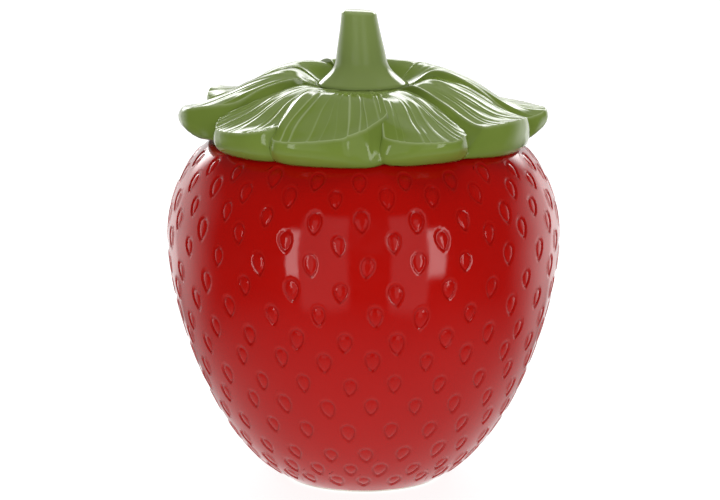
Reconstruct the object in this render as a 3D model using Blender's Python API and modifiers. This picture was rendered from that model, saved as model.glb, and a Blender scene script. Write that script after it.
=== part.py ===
"""Porcelain storage jar: a berry-shaped jar, a leaf-crown lid with a stem knob, and a seal ring.

Metres, +Z up. The jar stands on z = 0 with its axis on the Z axis, and the lid is in place on it.
"""

import math
import random
from bisect import bisect_left
from collections import namedtuple

import bmesh
import bpy

MM = 0.001
MERGE_DISTANCE = 0.00001

# Jar: heights are above the table, radii are from the jar's axis.
RIM_HEIGHT = 145.0 * MM
RIM_RADIUS = 65.5 * MM
RIM_WIDTH = 6.5 * MM
RIM_CHAMFER = 1.2 * MM
COLLAR_HEIGHT = 8.5 * MM
BELLY_HEIGHT = 105.7 * MM
BELLY_RADIUS = 83.4 * MM
FOOT_RADIUS = 33.0 * MM
FOOT_RING_WIDTH = 6.0 * MM
FOOT_RECESS = 1.6 * MM
WALL = 5.0 * MM
FLOOR = 6.0 * MM

# Jar outline: lengths and slopes of the curve handles at the foot, the belly and the rim.
FOOT_FLARE = 38.0 * MM
FOOT_SLOPE = math.radians(26.0)
BELLY_BELOW = 26.0 * MM
BELLY_ABOVE = 18.0 * MM
SHOULDER_RUN = 10.6 * MM
SHOULDER_SLOPE = math.radians(38.0)

# Seeds: staggered rows of pointed hollows with a raised lip. The lips reach the outline, and the skin
# between them lies that much inside it. A row's height is its share of the rim's, and its turn is how
# far it is set off from the even pattern, in degrees.
SeedRow = namedtuple("SeedRow", "height turn")
SEEDS_TO_ROW = 24
SEED_ROWS = (
    SeedRow(0.959, -0.8),
    SeedRow(0.916, -0.6),
    SeedRow(0.854, 0.2),
    SeedRow(0.799, 0.1),
    SeedRow(0.736, 0.3),
    SeedRow(0.658, 1.4),
    SeedRow(0.588, 2.5),
    SeedRow(0.512, 2.3),
    SeedRow(0.454, 3.7),
    SeedRow(0.379, 3.0),
    SeedRow(0.309, 3.2),
    SeedRow(0.232, 1.6),
    SeedRow(0.154, 1.2),
    SeedRow(0.095, 1.0),
    SeedRow(0.052, 1.0),
)
SEED_WIDTH = 6.7 * MM
SEED_LENGTH = 10.0 * MM
SEED_POINT = 0.55
SEED_LIP = 0.45 * MM
SEED_HOLLOW = 0.5 * MM
SEED_STRAY_ACROSS = 1.3 * MM
SEED_STRAY_DOWN = 1.1 * MM
SEED_SLANT = math.radians(9.0)
SEED_SIZES = (0.92, 1.07)
SEED_STRETCHES = (0.95, 1.05)
SEED_CROWDED_SIZE = 0.80
SEED_FULL_RADIUS = 58.0 * MM
SEED_NUMBER = 11
FOOT_EDGE = 1.6 * MM

# Lid: rises are above its seat on the jar's rim.
SEAT_GAP = 0.3 * MM
STEM_LENGTH = 31.1 * MM
STEM_TOP_RADIUS = 7.9 * MM
STEM_ROUNDING = 1.6 * MM
STEM_BASE_RADIUS = 19.4 * MM
STEM_BASE_RISE = 23.6 * MM
STEM_TAPER_RUN = 12.0 * MM
STEM_FLARE_RUN = 8.4 * MM
STEM_LEAN = -1.3 * MM
STEM_OFFSET = -0.6 * MM
LEAF_ROOT_RADIUS = 30.0 * MM
LEAF_MIDDLE_RADIUS = 45.0 * MM
LEAF_OUTER_RADIUS = 60.0 * MM
LEAF_LINE_MARGIN = 3.0 * MM
LEAF_LINE_LEAD = 8.0 * MM
LEAF_LINE_LEVELLING = 1.2
LEAF_ROUNDNESS = 2.2
LEAF_FLICK_WIDTH = 0.32
LEAF_FLICK_SHARPNESS = 8
LEAF_FLANK_FALL = 9.0 * MM
LEAF_ROOF = 2.6 * MM
SKIRT_OVERHANG = 2.9 * MM
SKIRT_SCALLOP = 1.8 * MM
SKIRT_PARTING = 4
SKIRT_CLEARANCE = 1.3 * MM
SKIRT_SHOULDER = 0.40

# Lid underside and plug.
PLUG_CLEARANCE = 1.5 * MM
PLUG_DEPTH = 13.0 * MM
PLUG_WALL = 5.0 * MM
PLUG_CHAMFER = 1.0 * MM
ROOF_THICKNESS = 4.0 * MM
RECESS_FULLNESS = 2.6

# Seal ring, held in a groove round the plug.
GROOVE_BELOW_SEAT = 3.0 * MM
GROOVE_HEIGHT = 5.4 * MM
GROOVE_DEPTH = 2.5 * MM
SEAL_CLEARANCE = 0.3 * MM
SEAL_LIP = 1.1 * MM
SEAL_BODY_SETBACK = 0.3 * MM

# Facets: straight spans along each curve, and steps round the axis, so many to each leaf.
JAR_STEPS = 2 * SEEDS_TO_ROW
LEAF_STEPS = 8
UPPER_SPANS = 7
LOWER_SPANS = 12
SKIN_FINENESS = 8
SEED_POINTS = 8
STEM_SPANS = 4
LEAF_SPANS = 9
SKIRT_SPANS = 5
RECESS_SPANS = 7
SMOOTH_ANGLE = math.radians(38.0)

# The nine leaves, anticlockwise from the one at front left. Three lines run along each: its right side,
# its middle and its left side, with their rises at the root, middle and outer radius and at the leaf's
# end. The tip stands at its place across the leaf, from -1 to 1, and hangs out over the rim; from there
# the end drops back to either side. The flick turns up the end at its own place across. A side spreads
# so far round from the leaf's middle, and its flank falls away further round. The skirt below the end
# bulges out, is undercut again above its foot, and its hem may be lifted off the jar's shoulder.
Leaf = namedtuple(
    "Leaf", "tip_side overhang right_drop left_drop flick flick_side right middle left spread skirt"
)
Line = namedtuple("Line", "root middle outer end")
Spread = namedtuple("Spread", "right left right_flank left_flank")
Skirt = namedtuple("Skirt", "bulge undercut heel right_hem left_hem")
FIRST_LEAF_ANGLE = math.radians(-102.0)
EVEN_SPREAD = Spread(math.radians(21.2), math.radians(21.2), 0.0, 0.0)
NARROW_RIGHT_SPREAD = Spread(math.radians(11.2), math.radians(21.2), 0.0, 0.0)
NARROW_LEFT_SPREAD = Spread(math.radians(21.2), math.radians(11.2), 0.0, 0.0)
FLANKED_RIGHT_SPREAD = Spread(math.radians(21.2), math.radians(21.2), math.radians(10.0), 0.0)
FLANKED_LEFT_SPREAD = Spread(math.radians(21.2), math.radians(21.2), 0.0, math.radians(10.0))
CLOSE_SKIRT = Skirt(1.9 * MM, 3.2 * MM, 0.16, 0.0 * MM, 0.0 * MM)
TONGUE_SKIRT = Skirt(6.0 * MM, 5.3 * MM, 0.10, 0.4 * MM, 3.0 * MM)
LEAVES = (
    Leaf(
        -0.55, 9.5 * MM, 9.0 * MM, 16.0 * MM, 0.0 * MM, 0.0,
        Line(24.1 * MM, 24.7 * MM, 16.7 * MM, 11.7 * MM),
        Line(23.7 * MM, 24.3 * MM, 17.5 * MM, 11.7 * MM),
        Line(23.5 * MM, 24.5 * MM, 18.5 * MM, 19.7 * MM),
        EVEN_SPREAD, CLOSE_SKIRT,
    ),
    Leaf(
        0.00, 10.7 * MM, 9.0 * MM, 15.3 * MM, 0.8 * MM, 0.40,
        Line(23.0 * MM, 23.7 * MM, 17.7 * MM, 10.9 * MM),
        Line(22.7 * MM, 20.5 * MM, 14.1 * MM, 9.9 * MM),
        Line(23.0 * MM, 19.3 * MM, 11.2 * MM, 10.6 * MM),
        NARROW_LEFT_SPREAD, CLOSE_SKIRT,
    ),
    Leaf(
        -0.15, 6.5 * MM, 5.6 * MM, 14.0 * MM, 0.8 * MM, -0.15,
        Line(24.5 * MM, 19.1 * MM, 12.6 * MM, 11.7 * MM),
        Line(26.3 * MM, 21.7 * MM, 13.9 * MM, 12.1 * MM),
        Line(26.9 * MM, 21.1 * MM, 11.2 * MM, 7.7 * MM),
        FLANKED_RIGHT_SPREAD, CLOSE_SKIRT,
    ),
    Leaf(
        -0.40, 13.9 * MM, 13.0 * MM, 9.0 * MM, 1.6 * MM, -0.40,
        Line(28.9 * MM, 23.5 * MM, 12.1 * MM, 9.3 * MM),
        Line(29.7 * MM, 24.1 * MM, 14.1 * MM, 10.9 * MM),
        Line(29.9 * MM, 24.5 * MM, 15.7 * MM, 12.1 * MM),
        EVEN_SPREAD, CLOSE_SKIRT,
    ),
    Leaf(
        0.20, 11.5 * MM, 9.0 * MM, 8.0 * MM, 1.0 * MM, 0.20,
        Line(28.9 * MM, 22.1 * MM, 13.3 * MM, 9.7 * MM),
        Line(30.1 * MM, 25.1 * MM, 15.3 * MM, 12.1 * MM),
        Line(29.9 * MM, 25.1 * MM, 15.9 * MM, 12.3 * MM),
        EVEN_SPREAD, CLOSE_SKIRT,
    ),
    Leaf(
        -0.15, 11.7 * MM, 8.0 * MM, 9.0 * MM, 1.0 * MM, -0.15,
        Line(29.3 * MM, 22.7 * MM, 14.3 * MM, 10.3 * MM),
        Line(30.5 * MM, 25.3 * MM, 15.7 * MM, 12.1 * MM),
        Line(30.1 * MM, 25.3 * MM, 16.3 * MM, 12.7 * MM),
        EVEN_SPREAD, CLOSE_SKIRT,
    ),
    Leaf(
        0.28, 13.1 * MM, 9.0 * MM, 12.0 * MM, 2.0 * MM, 0.28,
        Line(29.3 * MM, 25.5 * MM, 15.7 * MM, 10.7 * MM),
        Line(30.3 * MM, 27.1 * MM, 17.1 * MM, 14.3 * MM),
        Line(29.1 * MM, 24.1 * MM, 16.1 * MM, 12.7 * MM),
        EVEN_SPREAD, CLOSE_SKIRT,
    ),
    Leaf(
        0.10, 10.5 * MM, 10.0 * MM, 20.6 * MM, 0.8 * MM, 0.10,
        Line(28.3 * MM, 23.3 * MM, 15.3 * MM, 11.7 * MM),
        Line(28.9 * MM, 25.3 * MM, 17.9 * MM, 11.7 * MM),
        Line(26.3 * MM, 22.9 * MM, 16.3 * MM, 18.1 * MM),
        FLANKED_LEFT_SPREAD, TONGUE_SKIRT,
    ),
    Leaf(
        0.30, 7.9 * MM, 7.5 * MM, 4.0 * MM, 0.8 * MM, -0.95,
        Line(24.4 * MM, 20.4 * MM, 15.3 * MM, 12.4 * MM),
        Line(24.3 * MM, 21.3 * MM, 14.5 * MM, 11.9 * MM),
        Line(23.3 * MM, 21.7 * MM, 14.5 * MM, 14.0 * MM),
        NARROW_RIGHT_SPREAD, CLOSE_SKIRT,
    ),
)

# Values that follow from the sizes above.
MOUTH_RADIUS = RIM_RADIUS - RIM_WIDTH
COLLAR_BOTTOM = RIM_HEIGHT - COLLAR_HEIGHT
SEAT_HEIGHT = RIM_HEIGHT + SEAT_GAP
STEM_BASE_HEIGHT = SEAT_HEIGHT + STEM_BASE_RISE
STEM_TOP_HEIGHT = STEM_BASE_HEIGHT + STEM_LENGTH
PLUG_RADIUS = MOUTH_RADIUS - PLUG_CLEARANCE
PLUG_INSIDE = PLUG_RADIUS - PLUG_WALL
PLUG_BOTTOM = SEAT_HEIGHT - PLUG_DEPTH
RECESS_RISE = STEM_BASE_RISE - ROOF_THICKNESS
GROOVE_TOP = SEAT_HEIGHT - GROOVE_BELOW_SEAT
GROOVE_BOTTOM = GROOVE_TOP - GROOVE_HEIGHT
GROOVE_RADIUS = PLUG_RADIUS - GROOVE_DEPTH
LEAF_ANGLE = math.tau / len(LEAVES)
LEAF_LINE_RADII = (LEAF_ROOT_RADIUS, LEAF_MIDDLE_RADIUS, LEAF_OUTER_RADIUS)

# Colours as linear RGBA, and how rough each finish is.
RED_GLAZE = (0.40, 0.008, 0.006, 1.0)
GREEN_GLAZE = (0.155, 0.235, 0.045, 1.0)
WHITE_SILICONE = (0.80, 0.80, 0.77, 1.0)
GLAZE_ROUGHNESS = 0.12
SILICONE_ROUGHNESS = 0.5


def curve_point(corners, share):
    """A point a share of the way along a cubic curve: start, its handle, the end's handle, end."""
    rest = 1.0 - share
    weights = (rest**3, 3.0 * rest**2 * share, 3.0 * rest * share**2, share**3)
    radius = sum(weight * corner[0] for weight, corner in zip(weights, corners))
    height = sum(weight * corner[1] for weight, corner in zip(weights, corners))
    return radius, height


def curve(start, start_handle, end_handle, end, spans):
    """Points along a cubic curve in the half-section plane, both ends included."""
    corners = (start, start_handle, end_handle, end)
    return [curve_point(corners, index / spans) for index in range(spans + 1)]


def mix(first, second, share):
    """The value a share of the way from the first to the second."""
    return first + (second - first) * share


def clear_scene():
    """Remove every object that the file opens with."""
    for obj in list(bpy.data.objects):
        bpy.data.objects.remove(obj, do_unlink=True)


def make_collection(name):
    """A new collection under the scene's own."""
    collection = bpy.data.collections.new(name)
    bpy.context.scene.collection.children.link(collection)
    return collection


def make_material(name, colour, roughness):
    """A plain dielectric finish."""
    material = bpy.data.materials.new(name)
    material.use_nodes = True
    material.diffuse_color = colour
    shader = material.node_tree.nodes["Principled BSDF"]
    shader.inputs["Base Color"].default_value = colour
    shader.inputs["Roughness"].default_value = roughness
    shader.inputs["Metallic"].default_value = 0.0
    return material


def make_turned(name, profile, closed, steps, collection):
    """An object turned about the Z axis from a profile that runs down its outer side.

    Each profile point carries its number in the attribute "station", which the turned mesh keeps.
    """
    mesh = bpy.data.meshes.new(name)
    edges = [(index, index + 1) for index in range(len(profile) - 1)]
    if closed:
        edges.append((len(profile) - 1, 0))
    mesh.from_pydata([(radius, 0.0, height) for radius, height in profile], edges, [])
    station = mesh.attributes.new("station", "INT", "POINT")
    for index in range(len(profile)):
        station.data[index].value = index
    obj = bpy.data.objects.new(name, mesh)
    collection.objects.link(obj)
    screw = obj.modifiers.new("turn", "SCREW")
    screw.axis = "Z"
    screw.angle = math.tau
    screw.steps = steps
    screw.render_steps = steps
    screw.use_merge_vertices = True
    screw.merge_threshold = MERGE_DISTANCE
    return obj


def apply_modifiers(obj):
    """Swap an object's mesh for its evaluated one."""
    bpy.context.view_layer.update()
    graph = bpy.context.evaluated_depsgraph_get()
    mesh = bpy.data.meshes.new_from_object(obj.evaluated_get(graph))
    old = obj.data
    obj.modifiers.clear()
    obj.data = mesh
    bpy.data.meshes.remove(old)
    mesh.name = obj.name


def shade(obj, material):
    """Give an object its finish and smooth shading."""
    obj.data.materials.append(material)
    obj.data.shade_smooth()
    obj.data.set_sharp_from_angle(angle=SMOOTH_ANGLE)


def jar_outline(fineness):
    """The jar's outer curve, from the rim down to the foot, with so many times the usual spans."""
    shoulder_handle = (
        RIM_RADIUS + SHOULDER_RUN * math.cos(SHOULDER_SLOPE),
        RIM_HEIGHT - SHOULDER_RUN * math.sin(SHOULDER_SLOPE),
    )
    foot_handle = (
        FOOT_RADIUS + FOOT_FLARE * math.cos(FOOT_SLOPE),
        FOOT_FLARE * math.sin(FOOT_SLOPE),
    )
    belly = (BELLY_RADIUS, BELLY_HEIGHT)
    above = (BELLY_RADIUS, BELLY_HEIGHT + BELLY_ABOVE)
    below = (BELLY_RADIUS, BELLY_HEIGHT - BELLY_BELOW)
    upper = curve((RIM_RADIUS, RIM_HEIGHT), shoulder_handle, above, belly, UPPER_SPANS * fineness)
    lower = curve(belly, below, foot_handle, (FOOT_RADIUS, 0.0), LOWER_SPANS * fineness)
    return upper + lower[1:]


def shoulder_height(radius):
    """The height of the jar's shoulder at a radius between the rim's and the belly's."""
    outline = jar_outline(1)
    for above, below in zip(outline, outline[1 : UPPER_SPANS + 1]):
        if radius <= below[0]:
            return mix(above[1], below[1], (radius - above[0]) / (below[0] - above[0]))
    return BELLY_HEIGHT


def offset_inwards(outline, distance):
    """The outline moved towards the axis side by a wall's thickness, square to the curve."""
    moved = []
    for before, here, after in zip(outline, outline[1:], outline[2:]):
        run = after[0] - before[0]
        fall = after[1] - before[1]
        length = math.hypot(run, fall)
        moved.append((here[0] + fall / length * distance, here[1] - run / length * distance))
    return moved


Skin = namedtuple("Skin", "outline runs")


def make_skin():
    """The jar's outer curve with fine spans, and how far down it from the rim each point lies."""
    outline = jar_outline(SKIN_FINENESS)
    runs = [0.0]
    for above, below in zip(outline, outline[1:]):
        runs.append(runs[-1] + math.dist(above, below))
    return Skin(outline, runs)


def run_at(skin, height):
    """How far down the skin from the rim a height lies."""
    index = bisect_left([-point[1] for point in skin.outline], -height)
    index = min(max(index, 1), len(skin.runs) - 1)
    above = skin.outline[index - 1][1]
    below = skin.outline[index][1]
    return mix(skin.runs[index - 1], skin.runs[index], (above - height) / (above - below))


def row_runs(skin):
    """How far down the skin its rows lie: the rim's edge, the rows of seeds and the foot's edge."""
    runs = [run_at(skin, row.height * RIM_HEIGHT) for row in SEED_ROWS]
    return [RIM_CHAMFER] + runs + [skin.runs[-1] - FOOT_EDGE]


def place_angle(row, column):
    """The angle round the jar of a column of the pattern, with its row's turn. Both end rows have none."""
    even = math.tau * column / JAR_STEPS
    if 0 < row <= len(SEED_ROWS):
        return even + math.radians(SEED_ROWS[row - 1].turn)
    return even


def skin_section(skin, run, lift):
    """The skin's radius and height a run down from the rim, standing off the skin by a lift."""
    index = min(max(bisect_left(skin.runs, run), 1), len(skin.runs) - 1)
    above = skin.outline[index - 1]
    below = skin.outline[index]
    length = skin.runs[index] - skin.runs[index - 1]
    share = (run - skin.runs[index - 1]) / length
    off = (lift - SEED_LIP) / length
    radius = mix(above[0], below[0], share) + (above[1] - below[1]) * off
    height = mix(above[1], below[1], share) + (below[0] - above[0]) * off
    return radius, height


def place_on_skin(vert, skin, angle, run, lift):
    """Move a vertex to an angle round the jar, a run down its skin and a lift off it."""
    radius, height = skin_section(skin, run, lift)
    vert.co = (radius * math.cos(angle), radius * math.sin(angle), height)


def settle(vert, skin, lift):
    """Move a vertex near the skin straight in or out, to a lift off it."""
    place_on_skin(vert, skin, math.atan2(vert.co.y, vert.co.x), run_at(skin, vert.co.z), lift)


def build_jar(collection):
    """The jar: skin with seeds, foot ring with a recess, inside wall, collar and flat rim."""
    floor_height = FOOT_RECESS + FLOOR
    inside = [
        point
        for point in reversed(offset_inwards(jar_outline(1), WALL))
        if floor_height < point[1] < COLLAR_BOTTOM - RIM_CHAMFER and point[0] > WALL
    ]
    floor_edge = (inside[0][0] - (inside[0][1] - floor_height), floor_height)
    ring_inside = FOOT_RADIUS - FOOT_RING_WIDTH
    skin = make_skin()
    runs = row_runs(skin)
    profile = [(0.0, floor_height), floor_edge]
    profile += inside
    profile += [
        (MOUTH_RADIUS + RIM_CHAMFER, COLLAR_BOTTOM),
        (MOUTH_RADIUS, COLLAR_BOTTOM + RIM_CHAMFER),
        (MOUTH_RADIUS, RIM_HEIGHT - RIM_CHAMFER),
        (MOUTH_RADIUS + RIM_CHAMFER, RIM_HEIGHT),
        (RIM_RADIUS - RIM_CHAMFER, RIM_HEIGHT),
    ]
    first_row = len(profile)
    profile += [skin_section(skin, run, 0.0) for run in runs]
    profile += [
        (FOOT_RADIUS, 0.0),
        (ring_inside, 0.0),
        (ring_inside - FOOT_RECESS, FOOT_RECESS),
        (0.0, FOOT_RECESS),
    ]
    obj = make_turned("jar_body", profile, False, JAR_STEPS, collection)
    apply_modifiers(obj)
    mesh = bmesh.new()
    mesh.from_mesh(obj.data)
    press_seeds(mesh, cut_lozenges(mesh, skin, runs, first_row), skin, runs)
    bmesh.ops.recalc_face_normals(mesh, faces=mesh.faces[:])
    mesh.to_mesh(obj.data)
    mesh.free()
    return obj


def holds_seed(place):
    """Whether the staggered pattern has a seed at a row and column."""
    row, column = place
    return (row + column) % 2 == 1


def cut_lozenges(mesh, skin, runs, first_row):
    """Cut the turned skin into lozenges, and list them as (row, column, face), one to each seed."""
    station = mesh.verts.layers.int["station"]
    places = {}
    for vert in mesh.verts:
        row = vert[station] - first_row
        if 0 <= row < len(runs):
            turn = math.atan2(vert.co.y, vert.co.x) / math.tau
            places[vert] = (row, round(turn * JAR_STEPS) % JAR_STEPS)
    for vert, (row, column) in places.items():
        place_on_skin(vert, skin, place_angle(row, column), runs[row], 0.0)
    for face in mesh.faces[:]:
        if all(vert in places for vert in face.verts):
            corners = [vert for vert in face.verts if not holds_seed(places[vert])]
            bmesh.utils.face_split(face, *corners)
    last_row = len(runs) - 1
    middles = [vert for vert, place in places.items() if holds_seed(place) and 0 < place[0] < last_row]
    cells = {}
    for vert in middles:
        corners = frozenset(edge.other_vert(vert) for edge in vert.link_edges)
        cells[corners] = places[vert]
    bmesh.ops.dissolve_verts(mesh, verts=middles)
    lozenges = [
        (*cells[frozenset(face.verts)], face) for face in mesh.faces if frozenset(face.verts) in cells
    ]
    borders = {edge for _, _, face in lozenges for edge in face.edges}
    for item in bmesh.ops.bisect_edges(mesh, edges=list(borders), cuts=1)["geom_split"]:
        if isinstance(item, bmesh.types.BMVert):
            settle(item, skin, 0.0)
    return sorted(lozenges, key=lambda lozenge: lozenge[:2])


def seed_outline(turn):
    """A seed's outline at a turn from its point: the shares of its half width and half length."""
    widest = 2.0 * math.acos(math.sqrt(1.0 / (SEED_POINT + 2.0)))
    full = math.sin(widest) * math.sin(widest / 2.0) ** SEED_POINT
    half = abs(math.sin(turn / 2.0)) ** SEED_POINT
    return math.sin(turn) * half / full, math.cos(turn)


def press_seeds(mesh, lozenges, skin, runs):
    """Give each lozenge a seed, a little uneven as if pressed by hand: a raised lip and a hollow."""
    faces = [face for _, _, face in lozenges]
    bmesh.ops.inset_individual(mesh, faces=faces, thickness=MERGE_DISTANCE)
    hand = random.Random(SEED_NUMBER)
    for row, column, face in lozenges:
        radius, _ = skin_section(skin, runs[row], 0.0)
        room = min(1.0, radius / SEED_FULL_RADIUS)
        size = hand.uniform(*SEED_SIZES) * mix(SEED_CROWDED_SIZE, 1.0, room) / 2.0
        across = hand.uniform(-1.0, 1.0) * SEED_STRAY_ACROSS * room
        down = hand.uniform(-1.0, 1.0) * SEED_STRAY_DOWN * room
        angle = place_angle(row, column) + across / radius
        run = runs[row] + down
        half_width = SEED_WIDTH * size
        half_length = SEED_LENGTH * size * hand.uniform(*SEED_STRETCHES)
        slant = hand.uniform(-1.0, 1.0) * SEED_SLANT
        verts = list(face.verts)
        point = min(range(SEED_POINTS), key=lambda index: verts[index].co.z)
        beside = verts[(point + SEED_POINTS // 4) % SEED_POINTS].co
        forward = beside.y * math.cos(angle) - beside.x * math.sin(angle) > 0.0
        for index, vert in enumerate(verts):
            turn = math.tau * (index - point) / SEED_POINTS
            sideways, along = seed_outline(turn if forward else -turn)
            sideways *= half_width
            along *= half_length
            step = sideways * math.cos(slant) - along * math.sin(slant)
            fall = sideways * math.sin(slant) + along * math.cos(slant)
            place_on_skin(vert, skin, angle + step / radius, run + fall, SEED_LIP)
    for vert in bmesh.ops.poke(mesh, faces=faces)["verts"]:
        settle(vert, skin, -SEED_HOLLOW)


def leaves_at(angle):
    """The leaves at an angle round the lid, each with the place across it and how far down its flank.

    The place across is from -1 at the right side to 1 at the left, and the flank from 0 to 1.
    """
    found = []
    for number, leaf in enumerate(LEAVES):
        turn = angle - FIRST_LEAF_ANGLE - LEAF_ANGLE * number
        turn = (turn + math.pi) % math.tau - math.pi
        spread = leaf.spread.left if turn > 0.0 else leaf.spread.right
        flank = leaf.spread.left_flank if turn > 0.0 else leaf.spread.right_flank
        beyond = abs(turn) - spread
        if beyond <= 0.0:
            found.append((leaf, turn / spread, 0.0))
        elif beyond < flank:
            found.append((leaf, math.copysign(1.0, turn), beyond / flank))
    return found


def leaf_end(leaf, across):
    """How far from the axis a leaf's end lies at a place across it."""
    if across > leaf.tip_side:
        drop = leaf.left_drop
        from_tip = (across - leaf.tip_side) / (1.0 - leaf.tip_side)
    else:
        drop = leaf.right_drop
        from_tip = (leaf.tip_side - across) / (1.0 + leaf.tip_side)
    return RIM_RADIUS + leaf.overhang - drop * from_tip**LEAF_ROUNDNESS


def smooth_rise(points, share):
    """The rise on the smooth curve from the second to the third of four points."""
    before, here, after, beyond = points
    run = after[0] - here[0]
    start_slope = (after[1] - before[1]) / (after[0] - before[0]) * run
    end_slope = (beyond[1] - here[1]) / (beyond[0] - here[0]) * run
    corners = (
        here,
        (here[0], here[1] + start_slope / 3.0),
        (after[0], after[1] - end_slope / 3.0),
        after,
    )
    return curve_point(corners, share)[1]


def line_rise(line, end, share):
    """The rise of one line along a leaf, a share of the way from the stem to the line's end."""
    radius = mix(STEM_BASE_RADIUS, end, share)
    points = [(STEM_BASE_RADIUS - LEAF_LINE_LEAD, STEM_BASE_RISE), (STEM_BASE_RADIUS, STEM_BASE_RISE)]
    for place, rise in zip(LEAF_LINE_RADII, line):
        if STEM_BASE_RADIUS < place < end - LEAF_LINE_MARGIN:
            points.append((place, rise))
    points.append((end, line.end))
    points.append((end + LEAF_LINE_LEAD, mix(points[-2][1], line.end, LEAF_LINE_LEVELLING)))
    index = 1
    while index < len(points) - 3 and radius > points[index + 1][0]:
        index += 1
    part = (radius - points[index][0]) / (points[index + 1][0] - points[index][0])
    return smooth_rise(points[index - 1 : index + 3], part)


def leaf_rise(leaf, across, share):
    """A leaf's rise at a place across it, a share of the way from the stem to its end."""
    weights = (across * (across - 1.0) / 2.0, 1.0 - across * across, across * (across + 1.0) / 2.0)
    lines = ((leaf.right, -1.0), (leaf.middle, 0.0), (leaf.left, 1.0))
    rise = 0.0
    for weight, (line, side) in zip(weights, lines):
        rise += weight * line_rise(line, leaf_end(leaf, side), share)
    beside = (across - leaf.flick_side) / LEAF_FLICK_WIDTH
    return rise + leaf.flick * share**LEAF_FLICK_SHARPNESS * math.exp(-beside * beside)


def recess_rise(radius):
    """The rise of the hollow's roof under the lid at a radius."""
    share = min(radius / PLUG_INSIDE, 1.0) ** RECESS_FULLNESS
    return RECESS_RISE * (1.0 - share) ** (1.0 / RECESS_FULLNESS)


def stem_section():
    """The stem's half section, from the middle of its top down to the crease at its base."""
    side_top = (STEM_TOP_RADIUS, STEM_TOP_HEIGHT - STEM_ROUNDING)
    base = (STEM_BASE_RADIUS, STEM_BASE_HEIGHT)
    taper_handle = (STEM_TOP_RADIUS, side_top[1] - STEM_TAPER_RUN)
    flare_handle = (STEM_BASE_RADIUS - STEM_FLARE_RUN, STEM_BASE_HEIGHT)
    top = [(0.0, STEM_TOP_HEIGHT), (STEM_TOP_RADIUS - STEM_ROUNDING, STEM_TOP_HEIGHT)]
    return top + curve(side_top, taper_handle, flare_handle, base, STEM_SPANS)


def leaf_section(angle):
    """The leaves' upper face and the skirt below their edge, from beside the stem to the skirt's foot.

    Where two leaves meet, the higher of the two is the lid's face.
    """
    leaves = leaves_at(angle)
    leaf, across, _ = max(leaves, key=lambda found: leaf_end(found[0], found[1]))
    end = leaf_end(leaf, across)
    section = []
    for index in range(1, LEAF_SPANS + 1):
        radius = mix(STEM_BASE_RADIUS, end, index / LEAF_SPANS)
        rises = [recess_rise(radius) + LEAF_ROOF]
        for one, place, flank in leaves:
            share = (radius - STEM_BASE_RADIUS) / (leaf_end(one, place) - STEM_BASE_RADIUS)
            if share <= 1.0 + MERGE_DISTANCE:
                rises.append(leaf_rise(one, place, share) - LEAF_FLANK_FALL * flank * share)
        section.append((radius, SEAT_HEIGHT + max(rises)))
    edge = section[-1]
    skirt = leaf.skirt
    foot_radius = RIM_RADIUS + SKIRT_OVERHANG - SKIRT_SCALLOP * abs(across) ** SKIRT_PARTING
    hem = SKIRT_CLEARANCE + mix(skirt.right_hem, skirt.left_hem, (across + 1.0) / 2.0)
    foot = (foot_radius, shoulder_height(foot_radius) + hem)
    bulge = (edge[0] + skirt.bulge, mix(edge[1], foot[1], SKIRT_SHOULDER))
    undercut = (foot_radius + skirt.undercut, mix(foot[1], edge[1], skirt.heel))
    return section + curve(edge, bulge, undercut, foot, SKIRT_SPANS)[1:]


def underside_section():
    """The lid from its flat seat down the grooved plug and up into the hollow below the leaves."""
    section = [
        (RIM_RADIUS, SEAT_HEIGHT),
        (PLUG_RADIUS, SEAT_HEIGHT),
        (PLUG_RADIUS, GROOVE_TOP),
        (GROOVE_RADIUS, GROOVE_TOP),
        (GROOVE_RADIUS, GROOVE_BOTTOM),
        (PLUG_RADIUS, GROOVE_BOTTOM),
        (PLUG_RADIUS, PLUG_BOTTOM + PLUG_CHAMFER),
        (PLUG_RADIUS - PLUG_CHAMFER, PLUG_BOTTOM),
        (PLUG_INSIDE, PLUG_BOTTOM),
    ]
    for index in range(RECESS_SPANS):
        radius = PLUG_INSIDE * math.cos(math.pi / 2.0 * index / RECESS_SPANS) ** (2.0 / RECESS_FULLNESS)
        section.append((radius, SEAT_HEIGHT + recess_rise(radius)))
    section.append((0.0, SEAT_HEIGHT + RECESS_RISE))
    return section


def lid_section(angle):
    """The lid's half section at one angle, from the stem's top down the outside and up inside."""
    return stem_section() + leaf_section(angle) + underside_section()


def build_lid(collection):
    """The lid: a turned blank whose rings are then carved to the leaves' own section at each angle."""
    steps = LEAF_STEPS * len(LEAVES)
    angles = [FIRST_LEAF_ANGLE + math.tau * step / steps for step in range(steps)]
    sections = [lid_section(angle) for angle in angles]
    obj = make_turned("lid", sections[0], False, steps, collection)
    apply_modifiers(obj)
    station = obj.data.attributes["station"].data
    stem_stations = len(stem_section())
    for index, vertex in enumerate(obj.data.vertices):
        turn = math.atan2(vertex.co.y, vertex.co.x) % math.tau
        step = round(turn / math.tau * steps) % steps
        radius, height = sections[step][station[index].value]
        vertex.co.x = radius * math.cos(angles[step])
        vertex.co.y = radius * math.sin(angles[step])
        vertex.co.z = height
        if station[index].value < stem_stations:
            vertex.co.x += STEM_OFFSET + STEM_LEAN * (height - STEM_BASE_HEIGHT) / STEM_LENGTH
    obj.data.update()
    return obj


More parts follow.
